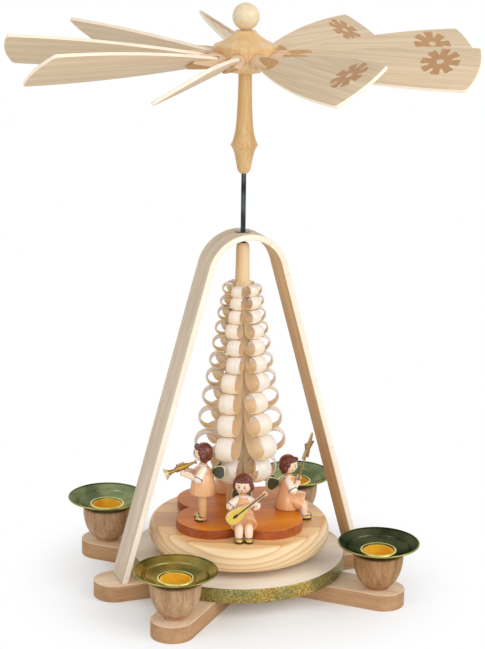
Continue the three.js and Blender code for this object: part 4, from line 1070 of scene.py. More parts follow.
# Each dish has its own painted reflection.
cups = {"right_back": green_reflection_dish, "left_back": green_reflection_dish, "left_front": golden_reflection_dish,
        "right_front": dark_reflection_dish}
for i, (corner, dish_finish) in enumerate(cups.items()):
    place = spin(CANDLE_ANGLE + 90 * i) @ shift(CUP_CENTRE, 0, 0)
    # The front right cup gets the wood with painted shade.
    cup_finish = shaded_cup_wood if corner == "right_front" else cup_wood
    piece(f"cup_{corner}", [(turned(cup_profile), cup_finish)], "base", f"candle_cup_{corner}",
          place=place)
    piece(f"plate_{corner}", [(turned(plate_profile), dish_finish)], "base",
          f"drip_plate_{corner}", place=place, paint=plate_paint)
print("candle hole in mm:", 2 * TUBE_RADIUS)

# %% [markdown]
# ## The stage
# A thick pine board with a full belly that turns just above the disc, on a steel needle. Its edge
# is two quarter arcs of different size, because a half circle would make it look like a wheel. The
# clover on it is a second board with four lobes, stained orange. Its outline is four arcs that
# meet in sharp notches, which is also how it would be marked out with a compass.

# %% Stage
BELLY_DROP = 6  # how far the fullest part of the edge lies under the top
BELLY_UNDER, BELLY_OVER = 5.2, 3.2  # how far the edge is rounded inwards under it and over it
TENON_HOLE, TENON_DEPTH = 5.2, 5  # a blind hole for the tenon under the tree
NEEDLE_HOLE = 1.3
NEEDLE_GAP = 0.2
STAGE_GRAIN = math.radians(-22)  # which way the board's fibres run
belly = stage_top - BELLY_DROP
needle_roof = high("pivot_needle").z + NEEDLE_GAP
stage = [(0, needle_roof), (NEEDLE_HOLE, needle_roof), (NEEDLE_HOLE, stage_bottom)]
stage += arc((stage_radius - BELLY_UNDER, belly), (BELLY_UNDER, belly - stage_bottom), -90, 0, 14)
stage += arc((stage_radius - BELLY_OVER, belly), (BELLY_OVER, BELLY_DROP), 0, 90, 14)[1:]
tenon_floor = stage_top - TENON_DEPTH
stage += [(TENON_HOLE, stage_top), (TENON_HOLE, tenon_floor), (0, tenon_floor)]


def stage_grain(spot):
    """The fibres run level and across the photograph's view."""
    along = spot.x * math.cos(STAGE_GRAIN) + spot.y * math.sin(STAGE_GRAIN)
    across = spot.y * math.cos(STAGE_GRAIN) - spot.x * math.sin(STAGE_GRAIN)
    return (along, across, spot.z)


def stage_paint(centre, normal):
    """The top has yellowed more than the edge, whose paler tone is partly a painted highlight."""
    return lit_pine_edge if normal.z < 0.8 else None


piece("stage_board", [(turned(stage, 144), pine_top)], "rotor", "stage",
      grain=stage_grain, paint=stage_paint)
print("stage in mm:", round(2 * stage_radius, 1), "thick:", round(stage_top - stage_bottom, 1))

# %% Needle
NEEDLE_RADIUS = 1.1
needle_low, needle_high = low("pivot_needle").z, high("pivot_needle").z
needle = [(0, needle_low), (0.25, needle_low + 0.1), (NEEDLE_RADIUS, needle_low + 2.6),
          (NEEDLE_RADIUS, needle_high), (0, needle_high)]
piece("steel_needle", [(turned(eased(needle, 0.15), 32), blued_steel)], "rotor", "pivot_needle")
print("needle in mm:", round(needle_high - needle_low, 1))

# %% Clover
LOBES = 4
LOBE_CENTRE = 19.3
LOBE_RADIUS = 17.7
LOBE_FIRST = 24
step = TURN / LOBES
chord = LOBE_CENTRE * math.sin(step / 2)
sweep_half = math.degrees(math.pi - math.acos(chord / LOBE_RADIUS) - (math.pi / 2 - step / 2))
clover = []
for i in range(LOBES):
    angle = LOBE_FIRST + 360 / LOBES * i
    a = math.radians(angle)
    centre = (LOBE_CENTRE * math.cos(a), LOBE_CENTRE * math.sin(a))
    lobe = arc(centre, (LOBE_RADIUS, LOBE_RADIUS), angle - sweep_half, angle + sweep_half, 40)
    clover += lobe[:-1]


def clover_paint(centre, normal):
    """The sawn edge took more stain than the top, and is darker partly as painted shade."""
    return shaded_stain_side if abs(normal.z) < 0.5 else None


piece("clover_plinth", [(board(clover, stage_top, plinth_top, 0.35), stain_top)], "rotor",
      "plinth", along="x", paint=clover_paint)
print("clover, across two lobes in mm:", round(2 * (LOBE_CENTRE + LOBE_RADIUS), 1))

# %% [markdown]
# ## The shaved tree
# A turned stick is clamped, and a knife peels a long thin shaving towards its foot. The shaving
# rolls itself up as it is cut and stays joined at its root. Eleven such cuts, one below the
# other, make a column, and six columns make the tree. Each shaving here leaves the trunk as a
# narrow leaf, swings out below the ring it will form and rolls up again inwards. Its outer face
# is satin. Its colours carry painted light and shade: nearly white on the ring, where it faces the
# room, and a warm cream towards its root, as painted shade near the trunk. Its inner face is light
# orange there, partly painted as the glow of light that has passed through several layers of thin
# wood, and nearly white round the ring as painted light. The colour follows the place along the
# shaving, which each point remembers.
# A curl could be a curve with a flat section, but a ribbon of rows of points can change its width,
# bend its sides back and stray a little, and no two of the real ones are alike.

# %% Shaving finishes
SHAVING_FIBRE = 0.4
SHAVING_LENGTH = 18
GLOW = (3.0, 1.9, 1.0)  # how far red, green and blue light creep inside thin wood


def shaved_finish(name, root, ring, rough, reached=1.0):
    """root and ring are pairs of a deep and a pale colour of the fibres.

    reached is the place, from 0 on the leaf to 1 on the ring, where the ring's colour is full.
    """
    material, tree, surface = finish(name)
    grain = node(tree, "Attribute", attribute_name="grain").outputs["Vector"]
    place = node(tree, "Attribute", attribute_name="place").outputs["Fac"]
    across = 1 / SHAVING_FIBRE
    fine = node(tree, "Mapping", {"Vector": grain, "Scale": (1 / SHAVING_LENGTH, across, across)})
    fibres = node(tree, "TexNoise", {"Vector": fine.outputs[0], "Scale": 1, "Detail": 3})
    share = node(tree, "MapRange", {"Value": fibres.outputs[0], "From Min": 0.3, "From Max": 0.7})
    tones = []
    for deep, pale in (root, ring):
        mixed = node(tree, "Mix", {0: share.outputs[0], 6: linear(deep), 7: linear(pale)},
                     data_type="RGBA")
        tones.append(mixed.outputs[2])
    # Mixing from the root's colours to the ring's is painted light and shade: warm in the shade near
    # the trunk, pale where the ring is lit.
    paler = node(tree, "MapRange", {"Value": place, "From Max": reached})
    colour = node(tree, "Mix", {0: paler.outputs[0], 6: tones[0], 7: tones[1]}, data_type="RGBA")
    relief = node(tree, "Bump", {"Height": fibres.outputs[0], "Strength": 0.2,
                                 "Distance": RELIEF * MM})
    tree.links.new(colour.outputs[2], surface.inputs["Base Color"])
    tree.links.new(relief.outputs[0], surface.inputs["Normal"])
    surface.inputs["Roughness"].default_value = rough
    surface.inputs["IOR"].default_value = WOOD_IOR
    surface.inputs["Subsurface Weight"].default_value = 0.5
    surface.inputs["Subsurface Scale"].default_value = 1.0
    surface.inputs["Subsurface Radius"].default_value = [reach * MM for reach in GLOW]
    return material


curl_outside = shaved_finish("shaving_outside", ("#FFD7A6", "#FFEDD0"), ("#F1DECA", "#FDF2E6"), 0.34)
curl_inside = shaved_finish("shaving_inside", ("#FFC48C", "#FFE0B8"), ("#FFEFDC", "#FFFAF2"), 0.5,
                            reached=0.4)
# The cut edge of a shaving is bright along its leaf. Round the ring it is painted dark, as painted
# shade on the thin edge, so each ring has a thin dark outline.
curl_edge_with_painted_shade = shaved_finish("shaving_edge_with_painted_shade", ("#F8DCB0", "#FFEED0"), ("#7E644A", "#9A7D5C"), 0.7)
print("finishes in all:", len(bpy.data.materials))

# %% Sizes of the tree
COLUMNS = 6
COLUMN_FIRST = -71.8
COLUMN_OFF = (0, -6, 0, 0, -6, 0)  # cut by eye, so two columns stand a little off
TIERS = 11
BARE_FOOT, BARE_TIP = 17, 20  # the trunk below and above the shavings
REACH_LOW, REACH_SKIRT, REACH_HIGH = 24.9, 18.2, 8.8
WIDTH_LOW, WIDTH_HIGH = 8.8, 5.1
HEIGHT_LOW, HEIGHT_HIGH = 12.2, 5.3
TRUNK_FOOT, TRUNK_TIP = 6.9, 3.0
tree_low = plinth_top + BARE_FOOT
tree_high = trunk_top - BARE_TIP
print("the tree in mm:", round(tree_high - tree_low, 1), "high,", round(2 * REACH_LOW, 1), "wide")

# %% The middle line of a shaving
ROOT_UP, ROOT_UP_LAST = 0.6, 0.15  # how far up the next tier a shaving is rooted
ROLL_FIRST = 218  # degrees: the ring begins at its lower side next to the trunk
ROLL_LEAST, ROLL_MOST = 285, 330  # degrees that a shaving is rolled up
ROLL_STEPS = 30
TIGHT_FROM, TIGHT = 0.45, 0.26  # from about its middle on the roll gets tighter


def trunk_radius(z):
    return TRUNK_FOOT + (TRUNK_TIP - TRUNK_FOOT) * (z - plinth_top) / (trunk_top - plinth_top)


def between(pairs, t):
    """Straight steps between pairs of a place and a value."""
    for (a, low_value), (b, high_value) in zip(pairs, pairs[1:]):
        if t <= b:
            return low_value + (high_value - low_value) * (t - a) / (b - a)
    return pairs[-1][1]


def shaving_line(base, peak, reach, root_up, luck):
    """The middle line of a shaving from its root to its rolled end, as radius and height."""
    tall = peak - base
    radius = tall / 2 * luck.uniform(0.98, 1.06)
    centre = Vector((reach - radius, (base + peak) / 2 + luck.uniform(-0.3, 0.3)))
    # The leaf is rooted inside the trunk, comes out just over the ring and meets the ring on the
    # side next to the trunk, at least 0.3 mm clear of the wood.
    root_z = peak + root_up * tall
    line = [Vector((trunk_radius(root_z) - 0.5, root_z))]
    line.append(Vector((trunk_radius(peak) + 0.3, peak + 0.1 * tall)))
    leaving = centre + Vector((-0.95, -0.3)) * radius
    line.append(Vector((max(leaving.x, trunk_radius(base) + 0.3), leaving.y)))
    turns = luck.uniform(ROLL_LEAST, ROLL_MOST)
    for i in range(ROLL_STEPS + 1):
        t = i / ROLL_STEPS
        a = math.radians(ROLL_FIRST + turns * t)
        rolled = 1 - TIGHT * max(0, t - TIGHT_FROM)
        line.append(centre + Vector((math.cos(a), math.sin(a))) * radius * rolled)
    return [Vector(p) for p in through([tuple(p) for p in line], 2)]


# %% One shaving
CURL = 0.32  # thickness of a shaving, a little over life size so that its edge shows
THINNER = 0.35  # share of it that is missing along the edges
ACROSS = 6
LEAF = [(0, 0.6), (0.12, 1.0), (0.34, 1.15), (0.6, 1.0), (0.85, 0.95), (1, 0.65)]  # widths along it
CUPPED = [(0, 0.0), (0.25, 0.03), (0.5, 0.18), (1, 0.18)]  # how far the sides bend back
SEAM = math.tan(math.pi / COLUMNS) * 1.02  # near the trunk a shaving just meets its neighbours
DRIFT = 0.05  # how far at most a shaving strays sideways for each mm of its length


def shaving(base, peak, reach, width, root_up, luck):
    """One curl in the plane of X and Z, with the grain and the place of each of its points."""
    path = shaving_line(base, peak, reach, root_up, luck)
    travelled = [0.0]
    for a, b in zip(path, path[1:]):
        travelled.append(travelled[-1] + (b - a).length)
    run = travelled[-1]
    lean = luck.uniform(-DRIFT, DRIFT)
    points, marks = [], []
    for i, (spot, gone) in enumerate(zip(path, travelled)):
        half = min(width / 2 * between(LEAF, gone / run), spot.x * SEAM)
        cupped = between(CUPPED, gone / run) * half
        ahead = path[min(i + 1, len(path) - 1)] - path[max(i - 1, 0)]
        out = Vector((ahead.y, -ahead.x)).normalized()
        for side in (-1, 1):
            for k in range(ACROSS + 1):
                s = 2 * k / ACROSS - 1
                lift = out * (side * CURL / 2 * (1 - THINNER * s * s) - cupped * s * s)
                points.append((spot.x + lift.x, half * s + lean * gone, spot.y + lift.y))
                marks.append((gone, half * s, gone / run))
    return points, marks


def shaving_faces(rows):
    """Faces on the inner side, on the outer side and along the edges of a shaving."""
    inner, outer, edges = [], [], []
    count = ACROSS + 1
    for i in range(rows - 1):
        a, b = i * 2 * count, (i + 1) * 2 * count
        for k in range(ACROSS):
            inner.append([a + k, a + k + 1, b + k + 1, b + k])
            outer.append([a + count + k, b + count + k, b + count + k + 1, a + count + k + 1])
        edges.append([a, b, b + count, a + count])
        edges.append([a + ACROSS, a + count + ACROSS, b + count + ACROSS, b + ACROSS])
    last = (rows - 1) * 2 * count
    for k in range(ACROSS):
        edges.append([k, count + k, count + k + 1, k + 1])
        edges.append([last + k, last + k + 1, last + count + k + 1, last + count + k])
    return inner, outer, edges


# %% Eleven tiers of six
COLUMN_SHIFT, TIER_SHIFT = 11, 67  # mm of other grain from one shaving to the next
luck = random.Random(24)
ratio = (HEIGHT_HIGH / HEIGHT_LOW) ** (1 / (TIERS - 1))
scale = (tree_high - tree_low) / sum(ratio**i for i in range(TIERS))
tree_points, tree_marks, tree_faces, tree_finish = [], [], [], []
base = tree_low
for tier in range(TIERS):
    peak = base + ratio**tier * scale
    t = (base - tree_low) / (tree_high - tree_low)
    reach = REACH_LOW + (REACH_HIGH - REACH_LOW) * t if tier else REACH_SKIRT
    width = WIDTH_LOW + (WIDTH_HIGH - WIDTH_LOW) * t
    root_up = ROOT_UP if tier < TIERS - 1 else ROOT_UP_LAST
    for column in range(COLUMNS):
        points, marks = shaving(base, peak, reach, width, root_up, luck)
        angle = COLUMN_FIRST + 360 / COLUMNS * column + COLUMN_OFF[column]
        turn = spin(angle + luck.uniform(-1, 1))
        first = len(tree_points)
        tree_points += [tuple(turn @ Vector(p)) for p in points]
        apart = COLUMN_SHIFT * column + TIER_SHIFT * tier
        tree_marks += [(gone, side + apart, place) for gone, side, place in marks]
        inner, outer, edges = shaving_faces(len(points) // (2 * (ACROSS + 1)))
        for faces, kind in ((inner, 1), (outer, 0), (edges, 2)):
            tree_faces += [[first + i for i in face] for face in faces]
            tree_finish += [kind] * len(faces)
    base = peak
print("shavings:", TIERS * COLUMNS, "faces:", len(tree_faces))

# %% Trunk
FLAT = 0.05  # half the depth of a flat, as a share of the radius
GRAIN_ROUND = 12  # mm of grain for each radian round the trunk
trunk_rows = through([(TRUNK_FOOT - 0.9, plinth_top + 0.1), (TRUNK_FOOT - 0.3, plinth_top + 3),
                      (TRUNK_FOOT - 0.5, tree_low), (trunk_radius(tree_high), tree_high),
                      (TRUNK_TIP + 0.3, trunk_top - 5), (TRUNK_TIP, trunk_top - 1)], 10)
trunk_profile = [(0, plinth_top + 0.1), *trunk_rows, (2.2, trunk_top), (0, trunk_top)]
trunk_points, trunk_faces = turned(trunk_profile, 64)
carved = []
for x, y, z in trunk_points:
    # Each column of cuts has left a shallow flat on the trunk below the bare tip.
    a = math.atan2(y, x) - math.radians(COLUMN_FIRST)
    depth = FLAT * (1 - math.cos(COLUMNS * a)) if z < tree_high else 0
    carved.append((x * (1 - depth), y * (1 - depth), z))


def tree_grain(spot):
    """The fibres run up the trunk. The other numbers are the way round it and out from it."""
    return (spot.z, math.atan2(spot.y, spot.x) * GRAIN_ROUND, spot.xy.length)


piece("shaved_tree", [((carved, trunk_faces), trunk_wood)], "rotor", "shaving_tree",
      grain=tree_grain)

# %% All the shavings
LEAF_SHARE, BLEND = 0.53, 0.28  # the leaf's part of a shaving, and where its colour gives way
curls = piece("tree_curls", [((tree_points, tree_faces), curl_outside)], "rotor", "shaving_tree")
curls.data.materials.append(curl_inside)
curls.data.materials.append(curl_edge_with_painted_shade)
for face, kind in zip(curls.data.polygons, tree_finish):
    face.material_index = kind
places = curls.data.attributes.new("place", "FLOAT", "POINT")
fibre_field = curls.data.attributes["grain"]
for i, (gone, side, place) in enumerate(tree_marks):
    fibre_field.data[i].vector = (gone, side, 0)
    places.data[i].value = min(1, max(0, (place - LEAF_SHARE) / BLEND))
print("points on the shavings:", len(tree_marks))

# %% [markdown]
# ## Rod, shaft, hub and ball
# Above the arch the spindle is a thin steel rod, then a turned shaft with one sharp bead, then a
# hub like a small bowl under a sloping roof, and a ball. The shaft's profile is two smooth curves
# that meet at the bead, because one curve through it would round it over. Nine holes are drilled
# into the hub for the dowels of the blades, at their real places, so their edges show beside them.

# %% Rod
ROD_RADIUS = 1.2
rod_low = low("spindle_rod").z
rod_high = high("spindle_rod").z
rod = [(0, rod_low), (ROD_RADIUS, rod_low), (ROD_RADIUS, rod_high), (0, rod_high)]
piece("steel_rod", [(turned(eased(rod, 0.2), 32), blued_steel)], "rotor", "spindle_rod")
print("rod in mm:", round(rod_high - rod_low, 1))

# %% Shaft
SHAFT_NECK = 3.2
shaft_side = [(2.1, 0), (2.9, 1.1), (3.3, 2.4), (4.0, 6.0), (5.0, 10.4), (6.55, 13.4), (5.35, 16.4),
              (4.4, 20.5), (3.8, 27), (3.35, 38), (SHAFT_NECK, 48.2)]
shaft_curve = []
for run in (shaft_side[:6], shaft_side[5:]):
    shaft_curve += [(r, shaft_bottom + up) for r, up in through(run, 8)]
shaft_top = high("fan_shaft").z
shaft = [(ROD_RADIUS + 0.2, shaft_bottom + 1), (ROD_RADIUS + 0.2, shaft_bottom), *shaft_curve,
         (SHAFT_NECK, shaft_top), (0, shaft_top), (0, shaft_bottom + 1)]
piece("turned_shaft", [(turned(shaft, 96), shaft_wood)], "rotor", "fan_shaft")
print("shaft in mm:", round(shaft_top - shaft_bottom, 1))

# %% Hub
DOWEL_RADIUS = 3.55
BORE_GAP = 0.08
BORE_FROM, BORE_TO = 11, 20  # the bores' floor and a place past the hub's side
BLADES = 9
BLADE_FIRST = -47.3
HUB_RIM = 15.1
SOCKET = SHAFT_NECK + 0.1
fan_z = hub_bottom + 6.4
rim = hub_bottom + 12.6
hub_under = through([(7.3, hub_bottom), (9.6, hub_bottom + 2.2), (12.6, hub_bottom + 6.4),
                     (14.4, hub_bottom + 10), (HUB_RIM - 0.1, rim - 0.7)], 8)
hub_over = through([(HUB_RIM - 0.4, rim + 0.5), (12, rim + 1.5), (9.3, rim + 2.9),
                    (6.5, rim + 5), (4.8, hub_top - 0.2)], 8)
hub_profile = [(0, hub_bottom + 1), (SOCKET, hub_bottom + 1), (SOCKET, hub_bottom), *hub_under,
               (HUB_RIM, rim), *hub_over, (4.3, hub_top), (0, hub_top)]
drill = DOWEL_RADIUS + BORE_GAP
bore_tool = turned([(0, BORE_FROM), (drill, BORE_FROM), (drill, BORE_TO), (0, BORE_TO)], 48)
sideways = Matrix.Rotation(math.pi / 2, 4, "Y")
drills = []
for i in range(BLADES):
    aim = shift(0, 0, fan_z) @ spin(BLADE_FIRST + 360 / BLADES * i) @ sideways
    drills.append(moved(bore_tool, aim))
piece("turned_hub", [(turned(hub_profile, 96), turned_wood)], "rotor", "fan_hub",
      cutters=drills)
print("hub in mm:", round(2 * HUB_RIM, 1), "bores:", len(drills))

# %% Ball
BALL_RADIUS = 6.46
BALL_CUT = 70  # degrees under its waist, where the ball is cut flat to sit on the hub
ball_foot = hub_top + 0.1
ball_top = high("finial_ball").z
ball_centre = ball_top - BALL_RADIUS
ball_side = arc((0, ball_centre), (BALL_RADIUS, BALL_RADIUS), -BALL_CUT, 90, 40)
ball_seat = BALL_RADIUS * math.cos(math.radians(BALL_CUT))
knob = [(0, ball_foot), (ball_seat, ball_foot), *ball_side[:-1], (0, ball_top)]
piece("turned_ball", [(turned(knob, 64), ball_wood)], "rotor", "finial_ball",
      along="x")
print("ball in mm:", round(2 * BALL_RADIUS, 1))

# %% [markdown]
# ## The fan
# A dowel with a sawn slot and a chisel-cut end holds each blade. It is turned first and then cut by
# solids, as it was with a chisel and a saw, so that the faces they left are flat. The blade is a thin
# board that widens outwards, with a blunt tip. A flower is stamped near it on the upper face: eight
# blunt petals joined round a bare centre, a common folk pattern. It is a skin of brown a few
# hundredths of a millimetre thick, because a stamp has crisp edges that a painted-on texture
# would blur.

# %% Blade outline
BLADE_THICK = 1.7
BLADE_ROOT = 17
ROOT_HALF = 2.6


def bow(start, pull, end, steps):
    """A curve that leaves its start towards a point and comes to its end from there."""
    made = []
    for i in range(steps):
        t = i / steps
        a = Vector(start).lerp(Vector(pull), t)
        made.append(tuple(a.lerp(Vector(pull).lerp(Vector(end), t), t)))
    return made


# The corners of the tip as they would be before they are rounded off.
lead, trail, round_off, bulge = Vector((113.2, -11.1)), Vector((110.8, 18.8)), 1.8, 7
outline = bow((BLADE_ROOT, -ROOT_HALF),
              ((BLADE_ROOT + lead.x) / 2, (lead.y - ROOT_HALF) / 2 - bulge),
              (lead.x - round_off, lead.y), 28)
outline += bow((lead.x - round_off, lead.y), lead, (lead.x + 0.5, lead.y + round_off), 6)
outline += bow((lead.x + 0.5, lead.y + round_off), (lead.x + 3.4, (lead.y + trail.y) / 2),
               (trail.x + 0.5, trail.y - round_off), 14)
outline += bow((trail.x + 0.5, trail.y - round_off), trail, (trail.x - round_off, trail.y), 6)
outline += bow((trail.x - round_off, trail.y),
               ((BLADE_ROOT + trail.x) / 2, (trail.y + ROOT_HALF) / 2 + bulge),
               (BLADE_ROOT, ROOT_HALF), 28)
outline.append((BLADE_ROOT, ROOT_HALF))
print("blade in mm:", round(lead.x - BLADE_ROOT, 1), "wide at the tip:", round(trail.y - lead.y, 1))

# %% Flower
PETALS = 8
FLOWER_SPOT = Vector((95, 7.2))
BARE, JOINED, FLOWER_REACH = 1.7, 4.4, 9.2  # radii: the bare centre, where petals part, the whole
SKIN, SKIN_ROOT = 0.04, 0.1  # the ink stands proud by the first and is let in by the second
share = math.tan(TURN / PETALS / 2)
petal_side = [(BARE, BARE * share), (JOINED, JOINED * share),
              *through([(6, 1.75), (8, 2.15), (8.9, 2.0)], 3),
              (FLOWER_REACH, 1.6), (FLOWER_REACH - 0.15, 0)]
petal_shape = [(x, -y) for x, y in petal_side] + petal_side[-2::-1]
flower = []
for i in range(PETALS):
    turn = Matrix.Rotation(TURN * i / PETALS, 2)
    petal = [tuple(FLOWER_SPOT + turn @ Vector(p)) for p in petal_shape]
    skin = board(petal, BLADE_THICK / 2 - SKIN_ROOT, BLADE_THICK / 2 + SKIN, edge=0)
    flower.append((skin, flower_stamp))
print("petals:", len(flower))

# %% Dowel and its cutters
DOWEL_START, DOWEL_TAPER, DOWEL_END = 11.4, 20, 33  # distances from the spindle
TIP_HEIGHT = 1.7  # what the two slanted cuts leave above and below the blade at the tip
TIP_ROUND = 3.2  # radius of the tip as seen from above
SAW_GAP = 0.08
PAST = 6  # a place outside the dowel on every side
dowel = moved(turned(eased([(0, DOWEL_START), (DOWEL_RADIUS, DOWEL_START), (DOWEL_RADIUS, DOWEL_END),
                            (0, DOWEL_END)], 0.2), 40), sideways)
chisel = [(DOWEL_TAPER, DOWEL_RADIUS), (DOWEL_END + 1, TIP_HEIGHT), (DOWEL_END + 1, PAST),
          (DOWEL_TAPER, PAST)]
bevel = upright(board(chisel, -PAST, PAST, edge=0))
other_bevel = ([(x, -y, -z) for x, y, z in bevel[0]], bevel[1])
nose = [(DOWEL_END - TIP_ROUND, -PAST), (DOWEL_END + 2, -PAST), (DOWEL_END + 2, PAST),
        (DOWEL_END - TIP_ROUND, PAST)]
nose += arc((DOWEL_END - TIP_ROUND, 0), (TIP_ROUND - 0.1, DOWEL_RADIUS + 0.1), 90, -90, 16)
round_tip = board(nose, -PAST, PAST, edge=0)
saw = BLADE_THICK / 2 + SAW_GAP
slot_tool = block((BLADE_ROOT - 0.3, -PAST, -saw), (DOWEL_END + 2, PAST, saw))
slope = (DOWEL_RADIUS - TIP_HEIGHT) / (DOWEL_END + 1 - DOWEL_TAPER)


def dowel_paint(centre, normal):
    """The two slanted faces that the chisel has cut, and the rounded tip."""
    off_cut = abs(centre.z) - DOWEL_RADIUS + (centre.x - DOWEL_TAPER) * slope
    slanted = abs(off_cut) < 0.03 and centre.x > DOWEL_TAPER
    tip = centre.x > DOWEL_END - TIP_ROUND and normal.x > 0.2
    return end_grain if slanted or tip else None


# %% Nine blades on nine dowels
PITCH = 32
board_shape = board(outline, -BLADE_THICK / 2, BLADE_THICK / 2, 0.3, 2)


def blade_paint(centre, normal):
    """The sanded edges, paler partly as painted highlight, without the rims of the stamped petals."""
    return lit_blade_edge if abs(normal.z) < 0.6 and abs(centre.z) < BLADE_THICK / 2 - 0.05 else None


for i in range(BLADES):
    place = spin(BLADE_FIRST + 360 / BLADES * i) @ shift(0, 0, fan_z)
    place = place @ Matrix.Rotation(math.radians(PITCH), 4, "X")
    body = f"blade_{i + 1}"
    piece(f"slotted_dowel_{i + 1}", [(dowel, dowel_wood)], body, f"blade_dowel_{i + 1}",
          place=place, along="x", cutters=[bevel, other_bevel, round_tip, slot_tool],
          paint=dowel_paint)
    piece(f"planed_blade_{i + 1}", [(board_shape, blade_wood), *flower], body, f"fan_blade_{i + 1}",
          place=place, along="x", paint=blade_paint)
print("blades:", BLADES)

# %% [markdown]
# ## The angels
# Each angel is put together from turned and carved bits the size of beads: a bell of lacquered
# wood for the gown, round limbs, a ball for the head under a cap of glossy hair, and a pair of
# wings sawn from one thin board. The figures could be sculpted, but the real ones are simple solids
# that were glued together, and simple solids keep their clean edges. In a figure's own frame +X is
# where it looks, and zero is the clover's top that it stands or sits on.

# %% Sizes of a figure
HEAD = 4.4
HEAD_AHEAD = 0.4
CHIN = 1.3  # from the neck's joint up to the ball of the head
SIDES = (-1, 1)


def head_height(neck):
    """Height of the middle of a head, from the height of the neck's joint."""
    return neck + CHIN + HEAD


# %% Head
def head_parts(neck, turn, nod):
    """A pale ball, a cap of glossy hair with a fringe and curls over the ears, and a plain face."""
    x, z = HEAD_AHEAD, head_height(neck)
    parts = [(ball((x, 0, z), (HEAD, HEAD - 0.1, HEAD)), skin_paint)]
    # The hair is overlapping balls, each by its place from the middle of the head and its radii:
    # first the cap, the roll in the neck and the three curls of the fringe.
    hair = [
        ((-0.75, 0, 0.75), (4.45, 4.75, 4.3)),
        ((-2.3, 0, -1.2), (2.7, 3.9, 3.2)),
        ((2.35, 1.7, 3.05), (1.5, 1.7, 1.1)),
        ((2.35, -1.7, 3.05), (1.5, 1.7, 1.1)),
        ((2.9, 0, 2.95), (1.2, 1.3, 0.9)),
    ]
    for s in SIDES:
        hair.append(((0.1, s * 3.9, -1.1), (1.7, 1.5, 2.3)))
        hair.append(((1.1, s * 3.75, 1.0), (1.5, 1.2, 1.7)))
        hair.append(((-0.9, s * 3.2, -3.0), (1.6, 1.5, 1.4)))
    for (ax, ay, az), radii in hair:
        parts.append((ball((x + ax, ay, z + az), radii, 24), hair_paint))
    # The face is flattened balls: an eye, an eyebrow and a cheek on each side, a nose and the lips.
    for s in SIDES:
        parts.append((ball((x + 4.1, s * 1.35, z + 0.25), (0.28, 0.42, 0.52), 12), dark_paint))
        parts.append((ball((x + 3.98, s * 1.4, z + 1.25), (0.2, 0.6, 0.14), 10), dark_paint))
        parts.append((ball((x + 3.62, s * 2.1, z - 1.1), (0.3, 0.75, 0.6), 12), cheek_paint))
    parts.append((ball((x + 4.3, 0, z - 0.5), (0.35, 0.35, 0.4), 12), skin_paint))
    parts.append((ball((x + 4.0, 0, z - 1.75), (0.22, 0.6, 0.26), 12), lip_paint))
    about = shift(x, 0, z) @ spin(turn) @ Matrix.Rotation(math.radians(nod), 4, "Y") @ shift(-x, 0, -z)
    return [(moved(shape, about), used) for shape, used in parts]


# %% [markdown]
# The arms are short: a wide cream sleeve with a dark line painted round its end, a thin forearm
# and a bead for the hand. The legs are stout pegs in shoes of two halves, sole and cap.

# %% Arms
SLEEVE = 2.3
SHOULDER_OUT, SHOULDER_DROP = 2.6, 2.2


def aimed(start, way, roll=0):
    """Lays something made along +Z from a start along a way."""
    turn = Vector((0, 0, 1)).rotation_difference(Vector(way)).to_matrix().to_4x4()
    return shift(*start) @ turn @ spin(roll)


def arm_parts(neck, hand, s, elbow):
    """One arm. The elbow is how far it lies ahead, out and under the neck."""
    shoulder = Vector((0, s * SHOULDER_OUT, neck - SHOULDER_DROP))
    elbow = Vector((elbow[0], s * elbow[1], neck - elbow[2]))
    hand = Vector(hand)
    sleeve_end = shoulder.lerp(elbow, 0.96)
    sleeve = limb([shoulder, shoulder.lerp(elbow, 0.5), sleeve_end], [1.8, 2.2, SLEEVE])
    cuff = turned(eased([(0, -0.2), (SLEEVE + 0.08, -0.2), (SLEEVE + 0.08, 0.25), (0, 0.25)], 0.1), 32)
    return [
        (sleeve, cream_paint),
        (moved(cuff, aimed(sleeve_end, elbow - shoulder)), dark_paint),
        (limb([elbow, elbow.lerp(hand, 0.55), hand], [1.35, 1.2, 1.0]), skin_paint),
        (ball(hand, (1.35, 1.3, 1.25), 20), skin_paint),
    ]


# %% Legs and shoes
LEG_OUT = 2.4
LEG = 2.2
SHOE_STEPS = 44


def rounded(x, y, radii):
    """A closed outline round a place."""
    return arc((x, y), radii, 0, 360 - 360 / (SHOE_STEPS + 1), SHOE_STEPS)


def shoe_parts(x, y, ground):
    """A dark sole, a domed cap and a dark line where the leg comes out."""
    cap = [(0, 0.4), (1, 0.4), (0.97, 0.7), (0.8, 1.0), (0.5, 1.15), (0, 1.15)]
    shape = shift(x, y, ground) @ Matrix.Diagonal((2.75, 2.05, 1.75, 1))
    return [
        (board(rounded(x, y, (2.9, 2.2)), ground, ground + 0.5, 0.15), dark_paint),
        (moved(turned(eased(cap, 0.1), 36), shape), shoe_paint),
        (board(rounded(x - 0.9, y, (1.95, 1.95)), ground + 1.9, ground + 2.25, 0.1), dark_paint),
    ]


# %% [markdown]
# A gown is a turned bell of lacquered wood. A standing angel has one bell. A seated angel has a
# second, wider bell laid forward over its knees and sawn flat underneath. Both share the chest and
# the neck, so that all four look like the work of one hand.

# %% Gown and collar
def gown_shape(profile, neck):
    """A bell from its own profile, with the chest and the neck that all gowns share."""
    top = [(4.2, neck - 4.6), (3.7, neck - 2.6), (2.2, neck - 1), (1.5, neck - 0.4), (1.5, neck + 1)]
    return turned([*profile, *through(top, 5), (0, neck + 1)], 48)


def collar_ring(neck):
    """A thin cream ring under the chin."""
    ring = arc((1.75, neck - 0.5), (0.6, 0.45), 0, 360, 12)
    return turned(ring[:-1], 32, closed=True), cream_paint


# %% A standing figure
HEM = 13.8


